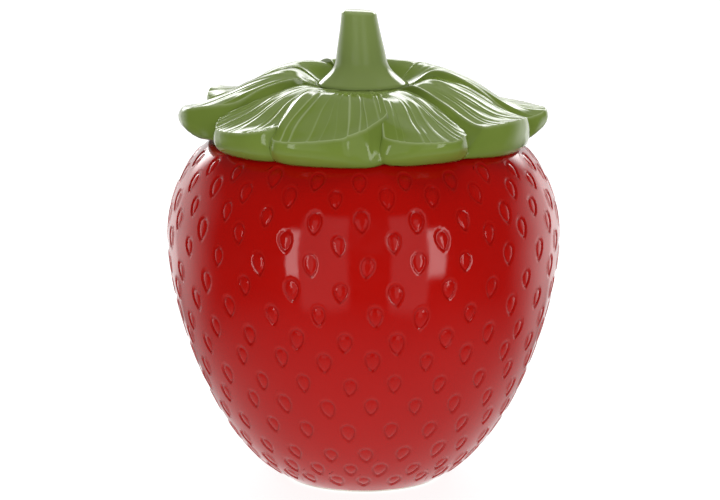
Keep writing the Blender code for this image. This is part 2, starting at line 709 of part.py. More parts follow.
def build_seal(collection):
    """The seal ring: a band in the plug's groove with two lips that reach towards the mouth."""
    inside = GROOVE_RADIUS + SEAL_CLEARANCE
    body = PLUG_RADIUS - SEAL_BODY_SETBACK
    lip = MOUTH_RADIUS - SEAL_CLEARANCE
    top = GROOVE_TOP - SEAL_CLEARANCE
    bottom = GROOVE_BOTTOM + SEAL_CLEARANCE
    profile = [
        (inside, top),
        (body, top),
        (lip, top - SEAL_LIP),
        (body, top - 2.0 * SEAL_LIP),
        (body, bottom + 2.0 * SEAL_LIP),
        (lip, bottom + SEAL_LIP),
        (body, bottom),
        (inside, bottom),
    ]
    return make_turned("seal_ring", profile, True, JAR_STEPS, collection)


def main():
    """Build the three pieces in their places."""
    clear_scene()
    collection = make_collection("porcelain_storage_jar")
    jar = build_jar(collection)
    lid = build_lid(collection)
    seal = build_seal(collection)
    apply_modifiers(seal)
    shade(jar, make_material("red_glaze", RED_GLAZE, GLAZE_ROUGHNESS))
    shade(lid, make_material("green_glaze", GREEN_GLAZE, GLAZE_ROUGHNESS))
    shade(seal, make_material("white_silicone", WHITE_SILICONE, SILICONE_ROUGHNESS))


main()
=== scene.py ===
"""A porcelain storage jar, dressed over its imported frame.

A berry-shaped jar with raised seeds, a lid cast as a crown of nine leaves with a stem for its knob,
and a silicone seal ring round the lid's plug, in a pale studio. Metres, +Z up, -Y is the front.
"""

from __future__ import annotations

import logging
import math
import random
from bisect import bisect_left
from dataclasses import dataclass
from enum import Enum, IntEnum
from typing import Iterable, Sequence

import bmesh
import bpy
from bmesh.types import BMEdge, BMesh, BMFace, BMLayerItem, BMVert
from mathutils import Matrix, Vector, noise

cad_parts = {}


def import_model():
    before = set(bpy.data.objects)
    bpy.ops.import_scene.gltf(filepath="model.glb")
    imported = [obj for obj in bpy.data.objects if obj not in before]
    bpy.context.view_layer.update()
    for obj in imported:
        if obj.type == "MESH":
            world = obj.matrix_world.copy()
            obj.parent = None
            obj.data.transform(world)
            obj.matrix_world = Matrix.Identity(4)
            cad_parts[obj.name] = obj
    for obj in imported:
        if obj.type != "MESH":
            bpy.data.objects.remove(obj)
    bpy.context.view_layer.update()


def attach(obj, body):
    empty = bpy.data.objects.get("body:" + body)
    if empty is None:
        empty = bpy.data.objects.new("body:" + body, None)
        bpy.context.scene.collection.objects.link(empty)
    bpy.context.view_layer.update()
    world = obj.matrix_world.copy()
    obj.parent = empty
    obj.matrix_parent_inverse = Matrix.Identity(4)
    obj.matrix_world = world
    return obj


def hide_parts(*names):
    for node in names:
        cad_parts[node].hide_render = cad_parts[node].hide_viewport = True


LOG = logging.getLogger("storage_jar")

MM = 0.001
MERGE_DISTANCE = 0.00002
# Glaze thickness at each vertex; on the stem it also carries painted light
GLAZE_DEPTH_AND_PAINTED_LIGHT = "glaze_depth_and_painted_light"
BARE_SKIN = "bare_skin"
# Where most of a soft noise's values lie
NOISE_RANGE = (0.3, 0.7)

Point = tuple[float, float]
Colour = tuple[float, float, float, float]


class Slot(Enum):
    """The record's material slots."""

    RED_GLAZE = "red_glaze"
    GREEN_GLAZE = "green_glaze"
    WHITE_SILICONE = "white_silicone"


class JarZone(IntEnum):
    """The jar's finishes, as places in its list of materials."""

    OUTSIDE = 0
    INSIDE = 1
    BARE_FOOT = 2


def mix(first: float, second: float, share: float) -> float:
    """The value a share of the way from the first to the second."""
    return first + (second - first) * share


def ease(low: float, high: float, value: float) -> float:
    """A smooth step from 0 at the low value to 1 at the high one."""
    share = min(max((value - low) / (high - low), 0.0), 1.0)
    return share * share * (3.0 - 2.0 * share)


def curve_point(corners: Sequence[Sequence[float]], share: float) -> tuple[float, ...]:
    """A point on a cubic curve.

    Args:
        corners: The start, its handle, the end's handle and the end.
        share: How far along the curve, from 0 to 1.

    Returns:
        The point, with as many coordinates as the corners have.
    """
    rest = 1.0 - share
    weights = (rest**3, 3.0 * rest**2 * share, 3.0 * rest * share**2, share**3)
    return tuple(
        sum(weight * corner[axis] for weight, corner in zip(weights, corners))
        for axis in range(len(corners[0]))
    )


def curve(corners: Sequence[Point], spans: int) -> list[Point]:
    """Points along a cubic curve in the half-section plane.

    Args:
        corners: The start, its handle, the end's handle and the end.
        spans: How many straight runs the curve gets.

    Returns:
        The points, both ends included.
    """
    return [curve_point(corners, index / spans) for index in range(spans + 1)]


def arc(centre: Point, radius: float, start: float, end: float, spans: int) -> list[Point]:
    """Points along a circular arc in the half-section plane.

    Args:
        centre: The arc's centre.
        radius: Its radius.
        start: The angle of its first point, in degrees from the outward direction.
        end: The angle of its last point.
        spans: How many straight runs the arc gets.

    Returns:
        The points, both ends included.
    """
    turns = [math.radians(mix(start, end, index / spans)) for index in range(spans + 1)]
    return [
        (centre[0] + radius * math.cos(turn), centre[1] + radius * math.sin(turn)) for turn in turns
    ]


def smooth_height(points: Sequence[Point], share: float) -> float:
    """A height on the smooth curve through the second and third of four points.

    Args:
        points: Four points, by key and height.
        share: How far from the second point to the third.

    Returns:
        The height.
    """
    (key_0, high_0), (key_1, high_1), (key_2, high_2), (key_3, high_3) = points
    run = key_2 - key_1
    slope_1 = (high_2 - high_0) / (key_2 - key_0) * run
    slope_2 = (high_3 - high_1) / (key_3 - key_1) * run
    square, cube = share * share, share**3
    return (
        (2.0 * cube - 3.0 * square + 1.0) * high_1
        + (cube - 2.0 * square + share) * slope_1
        + (3.0 * square - 2.0 * cube) * high_2
        + (cube - square) * slope_2
    )


class Track:
    """Values along a rising key, read between their points by straight runs."""

    def __init__(self, keys: Iterable[float], values: Iterable[float]) -> None:
        """Keep the keys, which rise, and their values."""
        self.keys = list(keys)
        self.values = list(values)

    def at(self, key: float) -> float:
        """The value at a key, or the nearest end's outside the track.

        Args:
            key: Where to read.

        Returns:
            The value there.
        """
        if key <= self.keys[0]:
            return self.values[0]
        if key >= self.keys[-1]:
            return self.values[-1]
        after = bisect_left(self.keys, key)
        before = after - 1
        share = (key - self.keys[before]) / (self.keys[after] - self.keys[before])
        return mix(self.values[before], self.values[after], share)


def spin_profile(
    bm: BMesh, profile: Sequence[Point], steps: int, closed: bool = False
) -> tuple[list[BMVert], list[BMFace]]:
    """Turn a profile all the way round the Z axis.

    Args:
        bm: The mesh to add to.
        profile: Radius and height of each point.
        steps: Steps round the axis.
        closed: True where the profile's last point joins its first.

    Returns:
        The new vertices and the new faces.
    """
    old_verts, old_faces = set(bm.verts), set(bm.faces)
    points = [bm.verts.new((radius, 0.0, height)) for radius, height in profile]
    pairs = list(zip(points, points[1:]))
    if closed:
        pairs.append((points[-1], points[0]))
    runs = [bm.edges.new(pair) for pair in pairs]
    bmesh.ops.spin(
        bm,
        geom=points + runs,
        cent=(0.0, 0.0, 0.0),
        axis=(0.0, 0.0, 1.0),
        angle=math.tau,
        steps=steps,
        use_merge=True,
    )
    verts = [vert for vert in bm.verts if vert not in old_verts]
    poles = [vert for vert in verts if math.hypot(vert.co.x, vert.co.y) < MERGE_DISTANCE]
    bmesh.ops.remove_doubles(bm, verts=poles, dist=MERGE_DISTANCE)
    verts = [vert for vert in bm.verts if vert not in old_verts]
    return verts, [face for face in bm.faces if face not in old_faces]


def finish_piece(bm: BMesh, name: str) -> bpy.types.Object:
    """Turn a finished mesh into a smooth-shaded object at the origin.

    Args:
        bm: The mesh, which is freed.
        name: The piece's name.

    Returns:
        The new object.
    """
    mesh = bpy.data.meshes.new(name)
    bm.to_mesh(mesh)
    bm.free()
    mesh.shade_smooth()
    piece = bpy.data.objects.new(name, mesh)
    bpy.context.scene.collection.objects.link(piece)
    LOG.info("%s: %d faces", name, len(mesh.polygons))
    return piece


class NodeBench:
    """A material's node tree, with short ways to add and join nodes."""

    def __init__(self, name: str) -> None:
        """Start a material with an empty tree.

        Args:
            name: The material's name.
        """
        self.material = bpy.data.materials.new(name)
        self.material.use_nodes = True
        self.tree = self.material.node_tree
        self.tree.nodes.clear()

    def add(self, kind: str, **values: object) -> bpy.types.Node:
        """Add a node and set its properties.

        Args:
            kind: The node's type name.
            values: Properties of the node by name.

        Returns:
            The new node.
        """
        node = self.tree.nodes.new(kind)
        for name, value in values.items():
            setattr(node, name, value)
        return node

    def join(self, source: bpy.types.NodeSocket, target: bpy.types.NodeSocket) -> None:
        """Link one socket to another."""
        self.tree.links.new(source, target)

    def place(self) -> bpy.types.NodeSocket:
        """The piece's own coordinates."""
        return self.add("ShaderNodeTexCoord").outputs["Object"]

    def noise(
        self, place: bpy.types.NodeSocket, scale: float, detail: float = 2.0, rough: float = 0.5
    ) -> bpy.types.NodeSocket:
        """A soft noise over the piece.

        Args:
            place: The coordinates it reads.
            scale: Waves to the metre.
            detail: Octaves of finer noise.
            rough: How strong the finer octaves are.

        Returns:
            The noise's value socket.
        """
        node = self.add("ShaderNodeTexNoise")
        node.inputs["Scale"].default_value = scale
        node.inputs["Detail"].default_value = detail
        node.inputs["Roughness"].default_value = rough
        self.join(place, node.inputs["Vector"])
        return node.outputs["Fac"]

    def depth(self) -> bpy.types.NodeSocket:
        """How thick the glaze lies: below zero where it breaks, above where it pools; on the stem it also
        holds painted light that makes the whole stem paler.
        """
        return self.add("ShaderNodeAttribute", attribute_name=GLAZE_DEPTH_AND_PAINTED_LIGHT).outputs["Fac"]

    def remap(
        self, value: bpy.types.NodeSocket, source: Point, target: Point
    ) -> bpy.types.NodeSocket:
        """Carry a value from one range to another, held at the ends.

        Args:
            value: The value.
            source: The range it comes in.
            target: The range it leaves in.

        Returns:
            The new value's socket.
        """
        node = self.add("ShaderNodeMapRange", clamp=True)
        for name, number in zip(("From Min", "From Max", "To Min", "To Max"), source + target):
            node.inputs[name].default_value = number
        self.join(value, node.inputs["Value"])
        return node.outputs["Result"]

    def blend(
        self,
        share: bpy.types.NodeSocket,
        first: Colour | bpy.types.NodeSocket,
        second: Colour | bpy.types.NodeSocket,
    ) -> bpy.types.NodeSocket:
        """Mix two colours.

        Args:
            share: How much of the second.
            first: A colour or a colour's socket.
            second: A colour or a colour's socket.

        Returns:
            The mixed colour's socket.
        """
        node = self.add("ShaderNodeMix", data_type="RGBA")
        self.join(share, node.inputs["Factor"])
        for index, colour in ((6, first), (7, second)):
            if isinstance(colour, bpy.types.NodeSocket):
                self.join(colour, node.inputs[index])
            else:
                node.inputs[index].default_value = colour
        return node.outputs[2]

    def bump(
        self, height: bpy.types.NodeSocket, distance: float, strength: float
    ) -> bpy.types.NodeSocket:
        """A fine unevenness of the surface.

        Args:
            height: The height's socket.
            distance: How deep it is, in metres.
            strength: How much of it shows.

        Returns:
            The normal's socket.
        """
        node = self.add("ShaderNodeBump")
        node.inputs["Distance"].default_value = distance
        node.inputs["Strength"].default_value = strength
        self.join(height, node.inputs["Height"])
        return node.outputs["Normal"]

    def surface(
        self,
        colour: bpy.types.NodeSocket,
        roughness: bpy.types.NodeSocket,
        normal: bpy.types.NodeSocket,
    ) -> bpy.types.Node:
        """Join the parts to a shader and the material's output.

        Args:
            colour: The base colour.
            roughness: The roughness.
            normal: The bumped normal.

        Returns:
            The shader node, for its constant sockets.
        """
        shader = self.add("ShaderNodeBsdfPrincipled")
        output = self.add("ShaderNodeOutputMaterial")
        self.join(colour, shader.inputs["Base Color"])
        self.join(roughness, shader.inputs["Roughness"])
        self.join(normal, shader.inputs["Normal"])
        self.join(shader.outputs["BSDF"], output.inputs["Surface"])
        return shader


@dataclass(frozen=True)
class Glaze:
    """A glossy coloured glaze that breaks thin over edges and pools in hollows."""

    name: str
    body: Colour
    shaded: Colour
    thin: Colour
    pooled: Colour
    thin_share: float = 0.8
    pooled_share: float = 0.8
    cloud_scale: float = 22.0
    cloud_range: Point = (0.35, 0.70)
    sheen_scale: float = 160.0
    wave_scale: float = 70.0
    wave_depth: float = 0.18 * MM
    wave_strength: float = 0.5
    roughness: Point = (0.045, 0.10)
    bending: float = 1.29

    def material(self) -> bpy.types.Material:
        """Make the glaze's material.

        Returns:
            The new material.
        """
        bench = NodeBench(self.name)
        place = bench.place()
        depth = bench.depth()
        patches = bench.noise(place, self.cloud_scale, detail=4.0, rough=0.55)
        clouds = bench.remap(patches, self.cloud_range, (0.0, 1.0))
        colour = bench.blend(clouds, self.body, self.shaded)
        thin = bench.remap(depth, (-0.05, -1.0), (0.0, self.thin_share))
        pooled = bench.remap(depth, (0.05, 1.0), (0.0, self.pooled_share))
        colour = bench.blend(thin, colour, self.thin)
        colour = bench.blend(pooled, colour, self.pooled)
        sheen = bench.remap(bench.noise(place, self.sheen_scale, detail=3.0), NOISE_RANGE, self.roughness)
        waves = bench.noise(place, self.wave_scale, detail=3.0, rough=0.4)
        shader = bench.surface(colour, sheen, bench.bump(waves, self.wave_depth, self.wave_strength))
        shader.inputs["IOR"].default_value = self.bending
        return bench.material


@dataclass(frozen=True)
class BareClay:
    """Fired clay without glaze, slightly gritty, with a few darker specks."""

    name: str = "bare_clay"
    body: Colour = (0.70, 0.66, 0.58, 1.0)
    shaded: Colour = (0.58, 0.53, 0.45, 1.0)
    speck: Colour = (0.36, 0.30, 0.23, 1.0)
    cloud_scale: float = 60.0
    cloud_range: Point = (0.35, 0.65)
    speck_scale: float = 900.0
    speck_range: Point = (0.68, 0.74)
    speck_share: float = 0.8
    grain_scale: float = 1600.0
    grain_depth: float = 0.2 * MM
    grain_strength: float = 0.6
    roughness: Point = (0.72, 0.92)

    def material(self) -> bpy.types.Material:
        """Make the clay's material.

        Returns:
            The new material.
        """
        bench = NodeBench(self.name)
        place = bench.place()
        patches = bench.noise(place, self.cloud_scale, detail=4.0)
        clouds = bench.remap(patches, self.cloud_range, (0.0, 1.0))
        dots = bench.noise(place, self.speck_scale, detail=1.0)
        specks = bench.remap(dots, self.speck_range, (0.0, self.speck_share))
        colour = bench.blend(specks, bench.blend(clouds, self.body, self.shaded), self.speck)
        grain = bench.noise(place, self.grain_scale, detail=3.0, rough=0.7)
        rough = bench.remap(grain, NOISE_RANGE, self.roughness)
        bench.surface(colour, rough, bench.bump(grain, self.grain_depth, self.grain_strength))
        return bench.material


@dataclass(frozen=True)
class Silicone:
    """Soft milky silicone with a satin skin and a little dust in its pores."""

    name: str = "milky_silicone"
    body: Colour = (0.78, 0.79, 0.77, 1.0)
    shaded: Colour = (0.68, 0.70, 0.68, 1.0)
    cloud_scale: float = 45.0
    cloud_range: Point = (0.35, 0.65)
    pore_scale: float = 2200.0
    pore_depth: float = 0.05 * MM
    pore_strength: float = 0.4
    roughness: Point = (0.38, 0.55)
    milkiness: float = 0.25
    milky_reach: tuple[float, float, float] = (4.0 * MM, 4.0 * MM, 3.5 * MM)
    bending: float = 1.41

    def material(self) -> bpy.types.Material:
        """Make the silicone's material.

        Returns:
            The new material.
        """
        bench = NodeBench(self.name)
        place = bench.place()
        patches = bench.noise(place, self.cloud_scale, detail=3.0)
        clouds = bench.remap(patches, self.cloud_range, (0.0, 1.0))
        colour = bench.blend(clouds, self.body, self.shaded)
        pores = bench.noise(place, self.pore_scale)
        rough = bench.remap(pores, NOISE_RANGE, self.roughness)
        shader = bench.surface(colour, rough, bench.bump(pores, self.pore_depth, self.pore_strength))
        shader.inputs["Subsurface Weight"].default_value = self.milkiness
        shader.inputs["Subsurface Radius"].default_value = self.milky_reach
        shader.inputs["IOR"].default_value = self.bending
        return bench.material


@dataclass(frozen=True)
class PalePaper:
    """The studio's pale paper floor."""

    name: str = "pale_paper"
    body: Colour = (0.24, 0.24, 0.238, 1.0)
    shaded: Colour = (0.22, 0.22, 0.218, 1.0)
    glow: Colour = (1.0, 1.0, 1.0, 1.0)
    glow_strength: float = 0.88
    cloud_scale: float = 6.0
    fibre_scale: float = 700.0
    fibre_depth: float = 0.05 * MM
    fibre_strength: float = 0.1
    roughness: Point = (0.75, 0.9)
    gloss: float = 0.2

    def material(self) -> bpy.types.Material:
        """Make the paper's material.

        Returns:
            The new material.
        """
        bench = NodeBench(self.name)
        place = bench.place()
        colour = bench.blend(bench.noise(place, self.cloud_scale), self.body, self.shaded)
        fibre = bench.noise(place, self.fibre_scale)
        rough = bench.remap(fibre, NOISE_RANGE, self.roughness)
        shader = bench.surface(colour, rough, bench.bump(fibre, self.fibre_depth, self.fibre_strength))
        shader.inputs["Specular IOR Level"].default_value = self.gloss
        shader.inputs["Emission Color"].default_value = self.glow
        shader.inputs["Emission Strength"].default_value = self.glow_strength
        return bench.material


@dataclass
class SeedCell:
    """One seed's place on the jar's skin, and the face that becomes it.

    The first is the place of the border's lowest point in its list. The sense is 1 where the border
    runs on from there towards growing angles, and -1 where it runs the other way.
    """

    face: BMFace
    first: int
    sense: int
    angle: float
    run: float
    half_width: float
    half_length: float
    slant: float
    border: list[Point]


@dataclass(frozen=True)
class SeedRow:
    """One row of seeds: its height, and how far it is turned from the even pattern, in degrees."""

    height: float
    turn: float


@dataclass(frozen=True)
class SeedRing:
    """One ring of a seed: its size against the seed's own, its lift off the skin, and its glaze."""

    scale: float
    lift: float
    glaze: float


@dataclass
class BerryJar:
    """The jar: a turned porcelain shell with staggered rows of raised seeds."""

    name: str = "berry_jar"
    rim_height: float = 145.0 * MM
    rim_radius: float = 65.5 * MM
    rim_width: float = 6.5 * MM
    rim_rounding: float = 1.2 * MM
    collar_height: float = 8.5 * MM
    belly_height: float = 105.7 * MM
    belly_radius: float = 83.4 * MM
    foot_radius: float = 33.0 * MM
    foot_ring_width: float = 6.0 * MM
    foot_recess: float = 1.6 * MM
    wall: float = 5.0 * MM
    floor: float = 6.0 * MM
    foot_flare: float = 38.0 * MM
    foot_slope: float = 26.0
    belly_below: float = 26.0 * MM
    belly_above: float = 18.0 * MM
    shoulder_run: float = 10.6 * MM
    shoulder_slope: float = 38.0
    upper_spans: int = 60
    lower_spans: int = 110
    skin_setback: float = 0.45 * MM
    skin_wobble: float = 0.22 * MM
    wobble_pitch: float = 34.0 * MM
    calm_run: float = 8.0 * MM
    rim_edge: float = 1.2 * MM
    foot_edge: float = 1.6 * MM
    red_lip: Point = (3.4 * MM, 2.0 * MM)
    seed_rows: tuple[SeedRow, ...] = (
        SeedRow(139.0 * MM, -0.8),
        SeedRow(132.8 * MM, -0.6),
        SeedRow(123.8 * MM, 0.2),
        SeedRow(115.9 * MM, 0.1),
        SeedRow(106.7 * MM, 0.3),
        SeedRow(95.4 * MM, 1.4),
        SeedRow(85.2 * MM, 2.5),
        SeedRow(74.3 * MM, 2.3),
        SeedRow(65.8 * MM, 3.7),
        SeedRow(55.0 * MM, 3.0),
        SeedRow(44.8 * MM, 3.2),
        SeedRow(33.7 * MM, 1.6),
        SeedRow(22.4 * MM, 1.2),
        SeedRow(13.8 * MM, 1.0),
        SeedRow(7.6 * MM, 1.0),
    )
    seeds_to_row: int = 24
    seed_width: float = 7.2 * MM
    seed_length: float = 10.8 * MM
    seed_point: float = 0.55
    seed_rings: tuple[SeedRing, ...] = (
        SeedRing(1.15, 0.00 * MM, 0.1),
        SeedRing(0.93, 0.36 * MM, -0.5),
        SeedRing(0.80, -0.36 * MM, 0.8),
        SeedRing(0.60, 0.02 * MM, 0.0),
        SeedRing(0.32, 0.16 * MM, -0.2),
    )
    seed_middle: SeedRing = SeedRing(0.00, 0.20 * MM, -0.15)
    seed_sizes: Point = (0.92, 1.07)
    seed_stretches: Point = (0.95, 1.05)
    seed_strays: Point = (1.3 * MM, 1.1 * MM)
    seed_slant: float = 9.0
    crowded_size: float = 0.80
    roomy_radius: float = 58.0 * MM
    first_inset: float = 0.1 * MM
    edge_cuts: int = 2
    draw_start: int = 11

    def __post_init__(self) -> None:
        """Work out the skin's curve from the rim to the foot."""
        shoulder, slope = math.radians(self.shoulder_slope), math.radians(self.foot_slope)
        belly = (self.belly_radius, self.belly_height)
        upper = curve(
            (
                (self.rim_radius, self.rim_height),
                (
                    self.rim_radius + self.shoulder_run * math.cos(shoulder),
                    self.rim_height - self.shoulder_run * math.sin(shoulder),
                ),
                (self.belly_radius, self.belly_height + self.belly_above),
                belly,
            ),
            self.upper_spans,
        )
        lower = curve(
            (
                belly,
                (self.belly_radius, self.belly_height - self.belly_below),
                (
                    self.foot_radius + self.foot_flare * math.cos(slope),
                    self.foot_flare * math.sin(slope),
                ),
                (self.foot_radius, 0.0),
            ),
            self.lower_spans,
        )
        points = upper + lower[1:]
        runs = [0.0]
        for before, here in zip(points, points[1:]):
            runs.append(runs[-1] + math.dist(before, here))
        self.radius_at = Track(runs, [point[0] for point in points])
        self.height_at = Track(runs, [point[1] for point in points])
        self.run_at = Track([-point[1] for point in points], runs)
        self.skin_length = runs[-1]

    def section_point(self, run: float, lift: float) -> Point:
        """A point of the skin's section.

        Args:
            run: How far down the skin from the rim.
            lift: How far it stands off the skin.

        Returns:
            Its radius and height.
        """
        step = 0.4 * MM
        low, high = max(run - step, 0.0), min(run + step, self.skin_length)
        across = self.radius_at.at(high) - self.radius_at.at(low)
        down = self.height_at.at(high) - self.height_at.at(low)
        length = math.hypot(across, down)
        off = lift - self.skin_setback
        return (
            self.radius_at.at(run) - down / length * off,
            self.height_at.at(run) + across / length * off,
        )

    def skin_point(self, angle: float, run: float, lift: float = 0.0) -> Vector:
        """A point on the skin, with the slight waves of the cast clay.

        Args:
            angle: The angle round the axis.
            run: How far down the skin from the rim.
            lift: How far it stands off the skin.

        Returns:
            The point.
        """
        radius, height = self.section_point(run, 0.0)
        flat = Vector((radius * math.cos(angle), radius * math.sin(angle), height))
        calm = ease(0.0, self.calm_run, run) * ease(0.0, self.calm_run, self.skin_length - run)
        wave = self.skin_wobble * calm * noise.noise(flat / self.wobble_pitch)
        radius, height = self.section_point(run, lift + wave)
        return Vector((radius * math.cos(angle), radius * math.sin(angle), height))

    def skin_normal(self, point: Vector) -> Vector:
        """The direction out of the bare skin beside a point on it.

        Args:
            point: The point.

        Returns:
            The direction, of length 1.
        """
        angle, run = math.atan2(point.y, point.x), self.run_at.at(-point.z)
        turn, step = 0.01, 0.8 * MM
        round_it = self.skin_point(angle + turn, run) - self.skin_point(angle - turn, run)
        down_it = self.skin_point(angle, run + step) - self.skin_point(angle, run - step)
        return down_it.cross(round_it).normalized()

    def teardrop(self, turn: float) -> Point:
        """A seed's outline, round at its top and pointed at its bottom.

        Args:
            turn: How far round it, from the point, in radians.

        Returns:
            Its place across, from -1 to 1, and down, from -1 to 1.
        """
        widest = 2.0 * math.acos(math.sqrt(1.0 / (self.seed_point + 2.0)))
        full = math.sin(widest) * math.sin(widest / 2.0) ** self.seed_point
        half = abs(math.sin(turn / 2.0)) ** self.seed_point
        return math.sin(turn) * half / full, math.cos(turn)

    def build(self) -> bpy.types.Object:
        """Make the jar's mesh.

        Returns:
            The jar as an object.
        """
        bm = bmesh.new()
        depth = bm.verts.layers.float.new(GLAZE_DEPTH_AND_PAINTED_LIGHT)
        bare = bm.verts.layers.int.new(BARE_SKIN)
        cells = self._lattice(bm)
        for face in bm.faces:
            face.material_index = JarZone.OUTSIDE
        for vert in bm.verts:
            vert[bare] = 1
        self._raise_seeds(bm, cells, depth, bare)
        self._add_inside(bm)
        self._add_foot(bm)
        bmesh.ops.remove_doubles(bm, verts=bm.verts[:], dist=MERGE_DISTANCE)
        bmesh.ops.recalc_face_normals(bm, faces=bm.faces[:])
        piece = finish_piece(bm, self.name)
        self._smooth_skin(piece.data)
        return piece

    def _smooth_skin(self, mesh: bpy.types.Mesh) -> None:
        """Shade the skin between the seeds as the smooth curve that it follows.

        Args:
            mesh: The jar's mesh.
        """
        bare = mesh.attributes[BARE_SKIN].data
        normals = [vertex.normal.copy() for vertex in mesh.vertices]
        for index, vertex in enumerate(mesh.vertices):
            if bare[index].value:
                normals[index] = self.skin_normal(vertex.co)
        mesh.normals_split_custom_set_from_vertices(normals)

    def _row_runs(self) -> list[float]:
        """Where the lattice's rows lie down the skin: the rim's edge, each seed row, the foot."""
        rows = [self.run_at.at(-row.height) for row in self.seed_rows]
        return [self.rim_edge, *rows, self.skin_length - self.foot_edge]

    def _lattice(self, bm: BMesh) -> list[SeedCell]:
        """Cover the skin with lozenges, one to each seed, and half lozenges at both ends.

        Args:
            bm: The jar's mesh, still empty.

        Returns:
            The seeds' cells, their faces with all their border points.
        """
        runs = self._row_runs()
        columns = 2 * self.seeds_to_row
        section = [self.section_point(run, 0.0) for run in runs]
        heights = [height for _, height in section]
        spin_profile(bm, section, columns)

        def row_of(vert: BMVert) -> int:
            """The lattice row of a vertex."""
            return min(range(len(heights)), key=lambda row: abs(vert.co.z - heights[row]))

        def holds_seed(vert: BMVert) -> bool:
            """True where the staggered pattern has a seed."""
            column = round(math.atan2(vert.co.y, vert.co.x) / math.tau * columns)
            return (column + rows[vert]) % 2 == 1

        rows = {vert: row_of(vert) for vert in bm.verts}
        seeds = {vert for vert in bm.verts if holds_seed(vert)}
        ends = (0, len(runs) - 1)
        for vert, row in rows.items():
            if row not in ends:
                vert.co = Matrix.Rotation(self._row_turn(row), 3, "Z") @ vert.co
        for face in bm.faces[:]:
            bmesh.utils.face_split(face, *[vert for vert in face.verts if vert not in seeds])
        halves = [
            edge
            for edge in bm.edges
            if any(vert in seeds and rows[vert] in ends for vert in edge.verts)
            and rows[edge.verts[0]] != rows[edge.verts[1]]
        ]
        bmesh.ops.dissolve_edges(bm, edges=halves)
        inner = [vert for vert in bm.verts if vert in seeds and rows[vert] not in ends]
        bmesh.ops.dissolve_verts(bm, verts=inner)
        marks = self._marks(bm, rows, runs)
        bmesh.ops.bisect_edges(bm, edges=bm.edges[:], cuts=self.edge_cuts)
        run_at_row = Track([-height for height in heights], runs)
        for vert in bm.verts:
            vert.co = self.skin_point(math.atan2(vert.co.y, vert.co.x), run_at_row.at(-vert.co.z))
        return self._cells(marks)

    def _row_turn(self, row: int) -> float:
        """How far a row of the lattice is turned, in radians."""
        return math.radians(self.seed_rows[row - 1].turn)

    def _marks(
        self, bm: BMesh, rows: dict[BMVert, int], runs: Sequence[float]
    ) -> list[tuple[float, int, float, BMFace]]:
        """Find the whole lozenges, which get the seeds.

        Args:
            bm: The jar's mesh, cut into lozenges.
            rows: The lattice row of each vertex.
            runs: The rows' places down the skin.

        Returns:
            Each seed's place down the skin, column, angle and face.
        """
        columns = 2 * self.seeds_to_row
        marks = []
        for face in bm.faces:
            top, *middle_rows, bottom = sorted(rows[vert] for vert in face.verts)
            if len(set(middle_rows)) > 1 or not top < middle_rows[0] < bottom:
                continue
            row = middle_rows[0]
            sides = [vert.co for vert in face.verts if rows[vert] == row]
            middle = sides[0] + sides[1]
            turn = self._row_turn(row)
            column = round((math.atan2(middle.y, middle.x) - turn) / math.tau * columns) % columns
            marks.append((runs[row], column, math.tau * column / columns + turn, face))
        return marks

    def _cells(self, marks: Sequence[tuple[float, int, float, BMFace]]) -> list[SeedCell]:
        """Give each seed its place, size and slant, a little uneven as if pressed by hand.

        Args:
            marks: Each seed's place down the skin, column, angle and face.

        Returns:
            The cells.
        """
        hand = random.Random(self.draw_start)
        cells = []
        for run, _, angle, face in sorted(marks, key=lambda mark: mark[:2]):
            radius = self.radius_at.at(run)
            border = []
            for vert in face.verts:
                turn = math.atan2(vert.co.y, vert.co.x) - angle
                turn = (turn + math.pi) % math.tau - math.pi
                border.append((turn * radius, self.run_at.at(-vert.co.z) - run))
            first = max(range(len(border)), key=lambda index: border[index][1])
            quarter = len(border) // 4
            sense = 1 if border[(first + quarter) % len(border)][0] > 0.0 else -1
            room = min(1.0, radius / self.roomy_radius)
            size = hand.uniform(*self.seed_sizes) * mix(self.crowded_size, 1.0, room)
            stray = (
                hand.uniform(-1.0, 1.0) * self.seed_strays[0] * room,
                hand.uniform(-1.0, 1.0) * self.seed_strays[1] * room,
            )
            cell = SeedCell(
                face=face,
                first=first,
                sense=sense,
                angle=angle + stray[0] / radius,
                run=run + stray[1],
                half_width=self.seed_width / 2.0 * size,
                half_length=self.seed_length / 2.0 * size * hand.uniform(*self.seed_stretches),
                slant=math.radians(hand.uniform(-self.seed_slant, self.seed_slant)),
                border=[(across - stray[0], down - stray[1]) for across, down in border],
            )
            cells.append(cell)
        return cells

    def _raise_seeds(
        self, bm: BMesh, cells: Sequence[SeedCell], depth: BMLayerItem, bare: BMLayerItem
    ) -> None:
        """Inset each cell ring by ring into a raised lip, a hollow and the seed inside it.

        Args:
            bm: The jar's mesh.
            cells: The seeds' cells.
            depth: The layer for the glaze's thickness.
            bare: The layer that marks the skin between the seeds.
        """
        faces = [cell.face for cell in cells]
        halfway = SeedRing(self.seed_rings[0].scale, 0.0, 0.0)
        steps = [(halfway, 0.5), *((ring, 1.0) for ring in self.seed_rings)]
        for ring, share in steps:
            bmesh.ops.inset_individual(bm, faces=faces, thickness=self.first_inset)
            for cell in cells:
                radius = self.radius_at.at(cell.run)
                for index, vert in enumerate(cell.face.verts):
                    across, down = self._on_seed(cell, index, ring.scale)
                    across = mix(cell.border[index][0], across, share)
                    down = mix(cell.border[index][1], down, share)
                    vert.co = self.skin_point(cell.angle + across / radius, cell.run + down, ring.lift)
                    vert[depth] = ring.glaze
                    vert[bare] = int(ring.lift == 0.0)
        middles = [(self.skin_point(cell.angle, cell.run), cell) for cell in cells]
        for vert in bmesh.ops.poke(bm, faces=faces)["verts"]:
            _, cell = min(middles, key=lambda pair: (pair[0] - vert.co).length_squared)
            vert.co = self.skin_point(cell.angle, cell.run, self.seed_middle.lift)
            vert[depth] = self.seed_middle.glaze
            vert[bare] = 0

